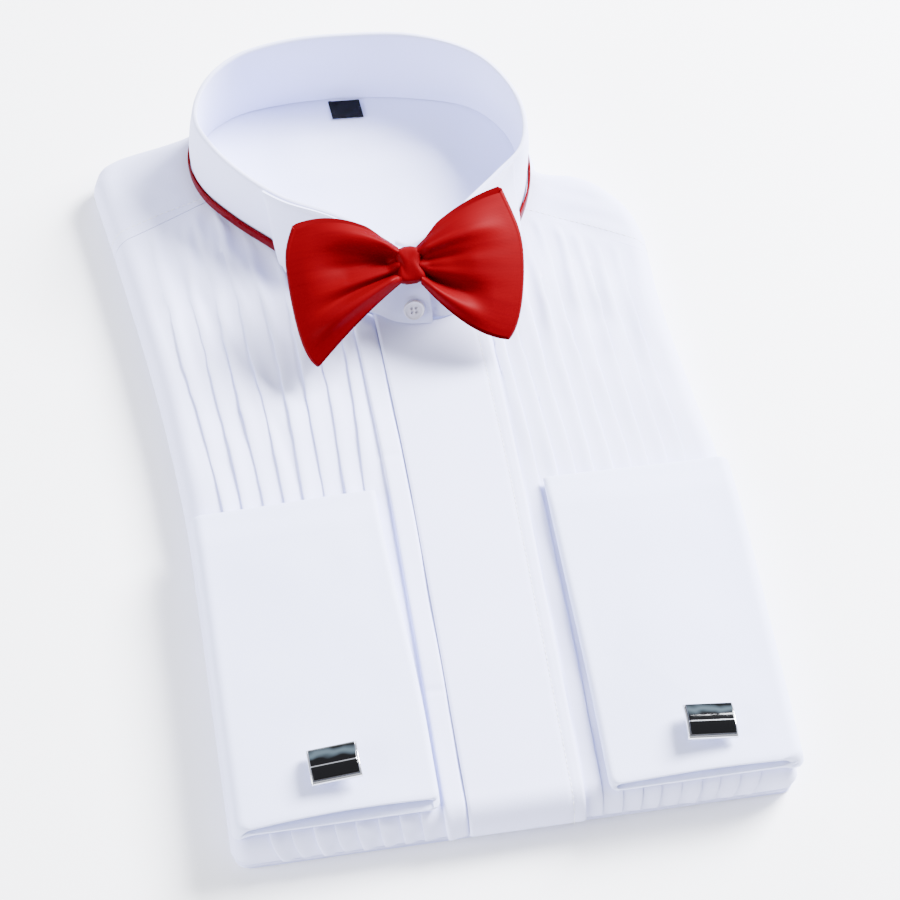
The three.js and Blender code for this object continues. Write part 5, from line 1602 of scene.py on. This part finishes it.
@dataclass(frozen=True)
class BowTie:
    """The pre-tied bow: two doubled wings, a knot round their middle, and a band round the collar."""

    centre: tuple[float, float, float] = (-5.3, 77.1, 53.1)
    tilt: float = 28.0
    layer_gap: float = 1.8
    knot_half_width: float = 5.3
    knot_flare: float = 1.08
    tuck: float = 1.6

    def place(self, x: np.ndarray, y: np.ndarray, depth: np.ndarray) -> np.ndarray:
        """Moves points from the bow's own frame to the cutting plan."""
        cos, sin = math.cos(math.radians(self.tilt)), math.sin(math.radians(self.tilt))
        x, y, depth = np.broadcast_arrays(x, y, depth)
        return np.stack([
            self.centre[0] + x, self.centre[1] + y * cos - depth * sin,
            self.centre[2] + y * sin + depth * cos], axis=-1)

    def sheet(self, wing: WingShape, reach: np.ndarray, across: np.ndarray, layer: int) -> tuple:
        """One layer of a wing: x, y and depth at shares of its reach and of its width."""
        outer_x, outer_y = wing.edge(across)
        knot_x = wing.side.sign * (self.knot_half_width * self.knot_flare - self.tuck)
        knot_y = lerp(wing.knot_bottom, wing.knot_top, (across + 1) / 2)
        hump = 4 * reach * (1 - reach)
        bulge = np.where(across > 0, wing.bulge_top * across, -wing.bulge_bottom * across)
        x = lerp(knot_x, outer_x, reach)
        y = lerp(knot_y, outer_y, reach) * (1.03 if layer < 0 else 1.0) + hump * bulge
        if layer < 0:
            y = y + 2.4 * np.maximum(across, 0) * smoothstep(reach, 0.06, 0.3)
        gather = (1 - reach) ** 1.6
        ripple = 1.3 * gather * np.cos(2.5 * math.pi * across + 0.4) + 1.0 * gather**4
        ripple = ripple + 0.4 * gather * np.sin(7.0 * math.pi * across + 1.1) * smoothstep(reach, 0.02, 0.12)
        belly = 3.2 * np.sin(math.pi * reach) * (1 - 0.5 * across**2)
        bend = -1.5 * reach**2 * across**2
        gap = self.layer_gap / 2 + 1.1 * hump
        folds = self.folds(wing.side, reach, across)
        if layer > 0:
            return x, y, gap + ripple + belly + folds + bend
        return x, y, -gap + ripple * 0.5 - belly * 0.1 + folds * 0.25 + bend

    def folds(self, side: Side, reach: np.ndarray, across: np.ndarray) -> np.ndarray:
        """The ridges and troughs that fan out from the knot over the upper layer."""
        if side is Side.LEFT:
            rows = ((-0.66, -0.7, 0.12, 3.0, 0.9), (0.15, 0.05, 0.34, -4.4, 0.66), (0.8, 0.74, 0.18, 1.6, 0.6),
                    (-0.36, -0.44, 0.12, -2.2, 0.7))
        else:
            rows = ((0.55, 0.6, 0.24, 1.9, 0.7), (-0.48, -0.56, 0.15, -3.2, 0.55), (-0.86, -0.8, 0.15, 1.0, 0.6),
                    (0.05, 0.0, 0.22, -1.6, 0.42))
        total = np.zeros(np.broadcast_shapes(np.shape(reach), np.shape(across)))
        for start, end, width, height, run in rows:
            centre = lerp(start, end, reach)
            along = smoothstep(reach, 0.0, 0.12) * (1 - smoothstep(reach, run * 0.7, min(1.0, run * 1.35)))
            total = total + height * np.exp(-(((across - centre) / width) ** 2)) * along
        return total

    def wing(self, side: Side) -> Shell:
        """Both layers of a wing as one strip, folded round at its outer edge."""
        shape = BOW_WINGS[side]
        across = np.linspace(-1, 1, 74)[None, :]
        reach = eased(70, 0.3)[:, None]
        front = np.stack(np.broadcast_arrays(*self.sheet(shape, reach, across, 1)), axis=-1)
        back = np.stack(np.broadcast_arrays(*self.sheet(shape, reach, across, -1)), axis=-1)[::-1]
        edge, behind = front[-1], back[0]
        turn = np.linspace(0.06, 0.94, 14)[:, None]
        radius = (edge[:, 2] - behind[:, 2]) / 2
        centre = (edge[:, 2] + behind[:, 2]) / 2
        fold = np.stack([
            edge[:, 0] + shape.side.sign * np.sin(turn * math.pi) * radius,
            lerp(edge[:, 1], behind[:, 1], turn), centre + np.cos(turn * math.pi) * radius], axis=-1)
        path = np.concatenate([front, fold, back])
        grid = self.place(path[..., 0], path[..., 1], path[..., 2])
        normals = surface_normals(grid, upward=False)
        return Shell(grid + normals * SATIN_WALL / 2, grid - normals * SATIN_WALL / 2)

    def knot(self) -> Shell:
        """The short tube of ribbon round the bow's middle, with soft diagonal creases."""
        along = np.linspace(-1, 1, 60)[:, None]
        angle = np.linspace(0, math.tau, 96, endpoint=False)[None, :]
        pinch = 1 - 0.14 * np.cos(along * math.pi) - 0.06 * along
        end = np.sqrt(np.maximum(0.12, 1 - along**6))
        crease = 0.2 * np.exp(-(((along * 0.9 + 1.1 * np.cos(angle) - 0.15) / 0.3) ** 2))
        crease = crease - 0.4 * np.exp(-(((along * 0.7 + 1.0 * np.cos(angle) + 0.5) / 0.24) ** 2))
        crease = crease * smoothstep(np.sin(angle), 0.0, 0.5) * (1 - along**4)

        def squared(part: np.ndarray) -> np.ndarray:
            return np.sign(part) * np.abs(part) ** 0.55

        def tube(inset: float) -> np.ndarray:
            x = (self.knot_half_width * self.knot_flare * pinch * end - inset) * squared(np.cos(angle))
            depth = (3.7 * end - inset + np.where(inset > 0, 0, 1) * crease) * squared(np.sin(angle))
            return self.place(x, along * (8.0 - 0.2 * inset), depth + 0.4)

        return Shell(tube(0.0), tube(1.2), wraps=True)

    def band(self) -> Shell:
        """The thin band round the collar, which rises to the knot at the front."""
        share = np.linspace(0, 1, 240, endpoint=False)[None, :]
        front = np.minimum(share, 1 - share)
        length = np.linalg.norm(NECK.rim(share) - NECK.foot(share), axis=-1)
        raised = 0.6 + 25.8 * (1 - smoothstep(front, 0.03, 0.075))
        extra = (STAND_WALL / 2 + 0.3) * np.clip((0.085 - front) / 0.03, 0, 1)
        rise = np.linspace(0, 1, 9)[:, None]
        height = (raised + 5.6 * rise) / length
        depth = STAND_WALL / 2 + 0.6 + extra
        rounded = 0.3 * (2 * rise - 1) ** 6
        return Shell(
            NECK.wall(share, height, depth + 1.1 - rounded), NECK.wall(share, height, depth + rounded * 0.2),
            wraps=True)


@dataclass
class FoldedLayers:
    """The shirt's hidden layers as one soft block, whose folded edges show round its side."""

    lips: tuple[tuple[float, float], ...] = (
        (0.0, 7.6), (0.7, 7.0), (1.0, 6.2), (1.0, 5.5), (0.5, 4.9), (-1.0, 4.5), (-1.5, 4.2), (-0.4, 3.9),
        (0.4, 3.4), (0.6, 2.8), (0.5, 2.2), (-0.2, 1.8), (-1.4, 1.6), (-0.7, 1.3), (0.1, 0.9), (-0.1, 0.4),
        (-0.6, 0.0),
    )

    def mesh(self, name: str) -> bpy.types.Object:
        """Makes the block, ring by ring from its top to its flat underside."""
        line = FORM.outline()
        length = np.concatenate([[0], np.cumsum(np.linalg.norm(np.roll(line, -1, 0) - line, axis=1))])
        closed = np.concatenate([line, line[:1]])
        along = np.linspace(0, length[-1], 700, endpoint=False)
        line = np.stack([np.interp(along, length, closed[:, axis]) for axis in (0, 1)], axis=1)
        run = np.roll(line, -2, axis=0) - np.roll(line, 2, axis=0)
        outward = unit(np.stack([run[:, 1], -run[:, 0]], axis=1))
        turns = np.linspace(0, 1, 9)[:-1]
        height = FORM.top_z - FORM.middle_z
        rings = [(-FORM.reach * (1 - math.sin(turn * math.pi / 2)) - 0.2,
                  FORM.middle_z - 0.3 + height * math.cos(turn * math.pi / 2)) for turn in turns]
        rings += list(self.lips)
        wave = np.sin(along / 31.0) * 0.25 + np.sin(along / 11.0 + 1.0) * 0.12
        points = []
        for number, (outset, z) in enumerate(rings):
            lively = wave * (1 if 0.3 < z < FORM.middle_z - 0.5 else 0) * math.sin(z * 2.1)
            plan = line + outward * (outset + lively)[:, None]
            points.append(np.concatenate([plan, np.full((len(line), 1), z)], axis=1))
        count = len(line)
        index = np.arange(count)
        after = (index + 1) % count
        faces = []
        for ring in range(len(rings) - 1):
            here, below = ring * count, (ring + 1) * count
            faces += np.stack([here + index, below + index, below + after, here + after], axis=1).tolist()
        faces.append(list(range(count)))
        faces.append([(len(rings) - 1) * count + step for step in reversed(range(count))])
        return make_mesh(name, np.concatenate(points), faces, sharp=70)


@dataclass
class Studio:
    """A pale sweep under the shirt, soft light from the upper right, and the photograph's camera."""

    target: tuple[float, float, float] = (0.00837, -0.01928, 0.025)
    camera_place: tuple[float, float, float] = (-0.1194, -0.8262, 1.2830)
    lens: float = 142.8
    key_power: float = 320.0
    fill: float = 0.92

    def aim(self, thing: bpy.types.Object, target: Sequence[float]) -> None:
        """Turns a camera or lamp to look at a point."""
        way = Vector(target) - thing.location
        thing.rotation_mode = "QUATERNION"
        thing.rotation_quaternion = way.to_track_quat("-Z", "Y")

    def lamp(self, name: str, place: Sequence[float], power: float, size: float, colour: str) -> None:
        """Adds a soft square lamp that looks at the shirt."""
        light = bpy.data.lights.new(name, "AREA")
        light.shape = "SQUARE"
        light.size = size
        light.energy = power
        light.color = srgb(colour)[:3]
        lamp = bpy.data.objects.new(name, light)
        bpy.context.collection.objects.link(lamp)
        lamp.location = place
        self.aim(lamp, (0.0, 0.0, 0.02))
        lamp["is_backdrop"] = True

    def paint(self, thing: bpy.types.Object, name: str, colour: str) -> None:
        """Gives a stage piece its plain matt colour."""
        material, tree = new_material(name)
        shader = add_node(tree, "ShaderNodeBsdfPrincipled", {
            "Base Color": srgb(colour), "Roughness": 0.9, "Specular IOR Level": 0.1})
        connect_surface(tree, shader)
        wear_material(thing, material)
        thing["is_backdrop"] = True

    def flag(self) -> None:
        """A dark card far in front, which keeps the low front light off the folded hem."""
        mesh = bpy.data.meshes.new("front_flag")
        mesh.from_pydata([(-2.6, -2.7, 0.002), (2.6, -2.7, 0.002), (2.6, -2.7, 1.9), (-2.6, -2.7, 1.9)], [],
                         [(3, 2, 1, 0)])
        card = bpy.data.objects.new("front_flag", mesh)
        bpy.context.collection.objects.link(card)
        self.paint(card, "dark_flag_cloth", "#26282e")

    def build(self) -> None:
        """Sets up the floor, the light and the camera."""
        reach = 6.0
        mesh = bpy.data.meshes.new("floor")
        mesh.from_pydata([(-reach, -reach, 0), (reach, -reach, 0), (reach, reach, 0), (-reach, reach, 0)], [],
                         [(0, 1, 2, 3)])
        floor = bpy.data.objects.new("floor", mesh)
        bpy.context.collection.objects.link(floor)
        self.paint(floor, "white_paper_sweep", "#ffffff")
        self.flag()
        world = bpy.data.worlds.new("white_room")
        world.use_nodes = True
        world.node_tree.nodes.clear()
        light = add_node(world.node_tree, "ShaderNodeBackground", {
            "Color": srgb("#f6f8ff"), "Strength": self.fill})
        output = add_node(world.node_tree, "ShaderNodeOutputWorld")
        world.node_tree.links.new(light.outputs[0], output.inputs["Surface"])
        bpy.context.scene.world = world
        self.lamp("key_window", (1.3, 0.72, 1.25), self.key_power, 0.85, "#f8f9ff")
        self.lamp("back_card", (-0.15, 1.9, 0.8), 14.0, 0.5, "#f4f8ff")
        self.lamp("left_card", (-1.4, -0.5, 0.7), 50.0, 1.0, "#f6f8ff")
        camera = bpy.data.cameras.new("camera")
        camera.lens = self.lens
        camera.sensor_width = 36.0
        eye = bpy.data.objects.new("camera", camera)
        bpy.context.collection.objects.link(eye)
        eye.location = self.camera_place
        self.aim(eye, self.target)
        bpy.context.scene.camera = eye
        LOG.info("studio: camera at %s", self.camera_place)


@dataclass
class Dresser:
    """Makes the whole shirt, piece by piece."""

    garment: Garment

    def front(self) -> None:
        """The folded layers, the two bib halves, the placket and the shoulders."""
        garment, finish = self.garment, self.garment.finishes
        layers = FoldedLayers().mesh("folded_layers")
        garment.add(layers, "cotton", [finish.poplin], ["folded_body"])
        for side, creases in ((Side.LEFT, LEFT_CREASES), (Side.RIGHT, RIGHT_CREASES)):
            garment.add_cloth(f"bib_{side.value}", FrontPanel(side, creases).shell(), f"front_{side.value}",
                              Hold.FOLDED, ["folded_layers"])
        placket = Placket()
        shell = placket.shell()
        garment.add_cloth("placket", shell, "fly_placket", Hold.FOLDED, ["bib_left", "bib_right"])
        edge = shell.line(column=placket.stitch_column(), lift=0.02)
        stitches = StitchRow().sew("placket_stitches", [edge], finish.thread)
        garment.add(stitches, "cotton", [finish.thread])
        yoke = Yoke().shell()
        garment.add_cloth("shoulder_yoke", yoke, "yoke", Hold.FOLDED, ["folded_layers"])
        seams = [yoke.line(column=column, lift=0.02) for column in (3, yoke.outer.shape[1] - 4)]
        stitches = StitchRow().sew("yoke_stitches", seams, finish.thread)
        garment.add(stitches, "cotton", [finish.thread])

    def collar(self) -> None:
        """The neck's inside, the stand with its wings, the label and the button."""
        garment, finish = self.garment, self.garment.finishes
        garment.add_cloth("neck_inside", NeckInside().shell(), "back_neck_inside", Hold.LAID,
                          ["folded_layers"], finish.lining)
        stand = CollarStand().shell()
        garment.add_cloth("standing_collar", stand, "collar_stand", Hold.STRETCHED, ["shoulder_yoke"])
        for side in Side:
            garment.add_cloth(f"wing_{side.value}", CollarWing(side).shell(), f"collar_wing_{side.value}",
                              Hold.FOLDED, ["standing_collar"])
        garment.add_cloth("bare_label", NeckLabel().shell(), "neck_label", Hold.LAID, ["neck_inside"],
                          finish.woven_label, "label")
        garment.add(CollarButton().mesh("stand_button"), "button", [finish.button], ["collar_button"])

    def cuffs(self) -> None:
        """Both double cuffs with their links."""
        garment, finish = self.garment, self.garment.finishes
        for side in Side:
            garment.add_cloth(f"double_cuff_{side.value}", Cuff(CUFFS[side]).shell(), f"cuff_{side.value}",
                              Hold.FOLDED, [f"bib_{side.value}"], finish.cuff_poplin)
            link = Cufflink(side)
            face = garment.add(link.face(f"enamel_face_{side.value}"), "enamel",
                               [finish.enamel, finish.silver], [f"link_{side.value}_face"])
            link.line_face(face)
            garment.add(link.tray(f"silver_tray_{side.value}"), "silver", [finish.silver],
                        [f"link_{side.value}_tray"])
            wear_material(bpy.data.objects[f"link_{side.value}_post"], finish.silver)

    def bow(self) -> None:
        """The bow tie: its wings, knot and band."""
        garment, finish = self.garment, self.garment.finishes
        tie = BowTie()
        for side in Side:
            garment.add_cloth(f"bow_{side.value}", tie.wing(side), f"bow_wing_{side.value}", Hold.GATHERED,
                              ["knot"], finish.satin, "satin")
        garment.add_cloth("knot", tie.knot(), "bow_knot", Hold.GATHERED, ["standing_collar"], finish.satin,
                          "satin")
        garment.add_cloth("neck_band", tie.band(), "bow_band", Hold.STRETCHED, ["standing_collar"],
                          finish.satin, "satin")


def corners() -> list[list[float]]:
    """The lowest and the highest corner of what is shown, as plain lists."""
    return [[float(value) for value in corner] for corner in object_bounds()]


def main() -> None:
    """Makes the shirt over its frame."""
    logging.basicConfig(level=logging.INFO, format="%(name)s: %(message)s")
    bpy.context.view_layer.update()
    garment = Garment(Wardrobe())
    dresser = Dresser(garment)
    dresser.front()
    dresser.collar()
    dresser.cuffs()
    dresser.bow()
    Studio().build()


if __name__ == "__main__":
    main()
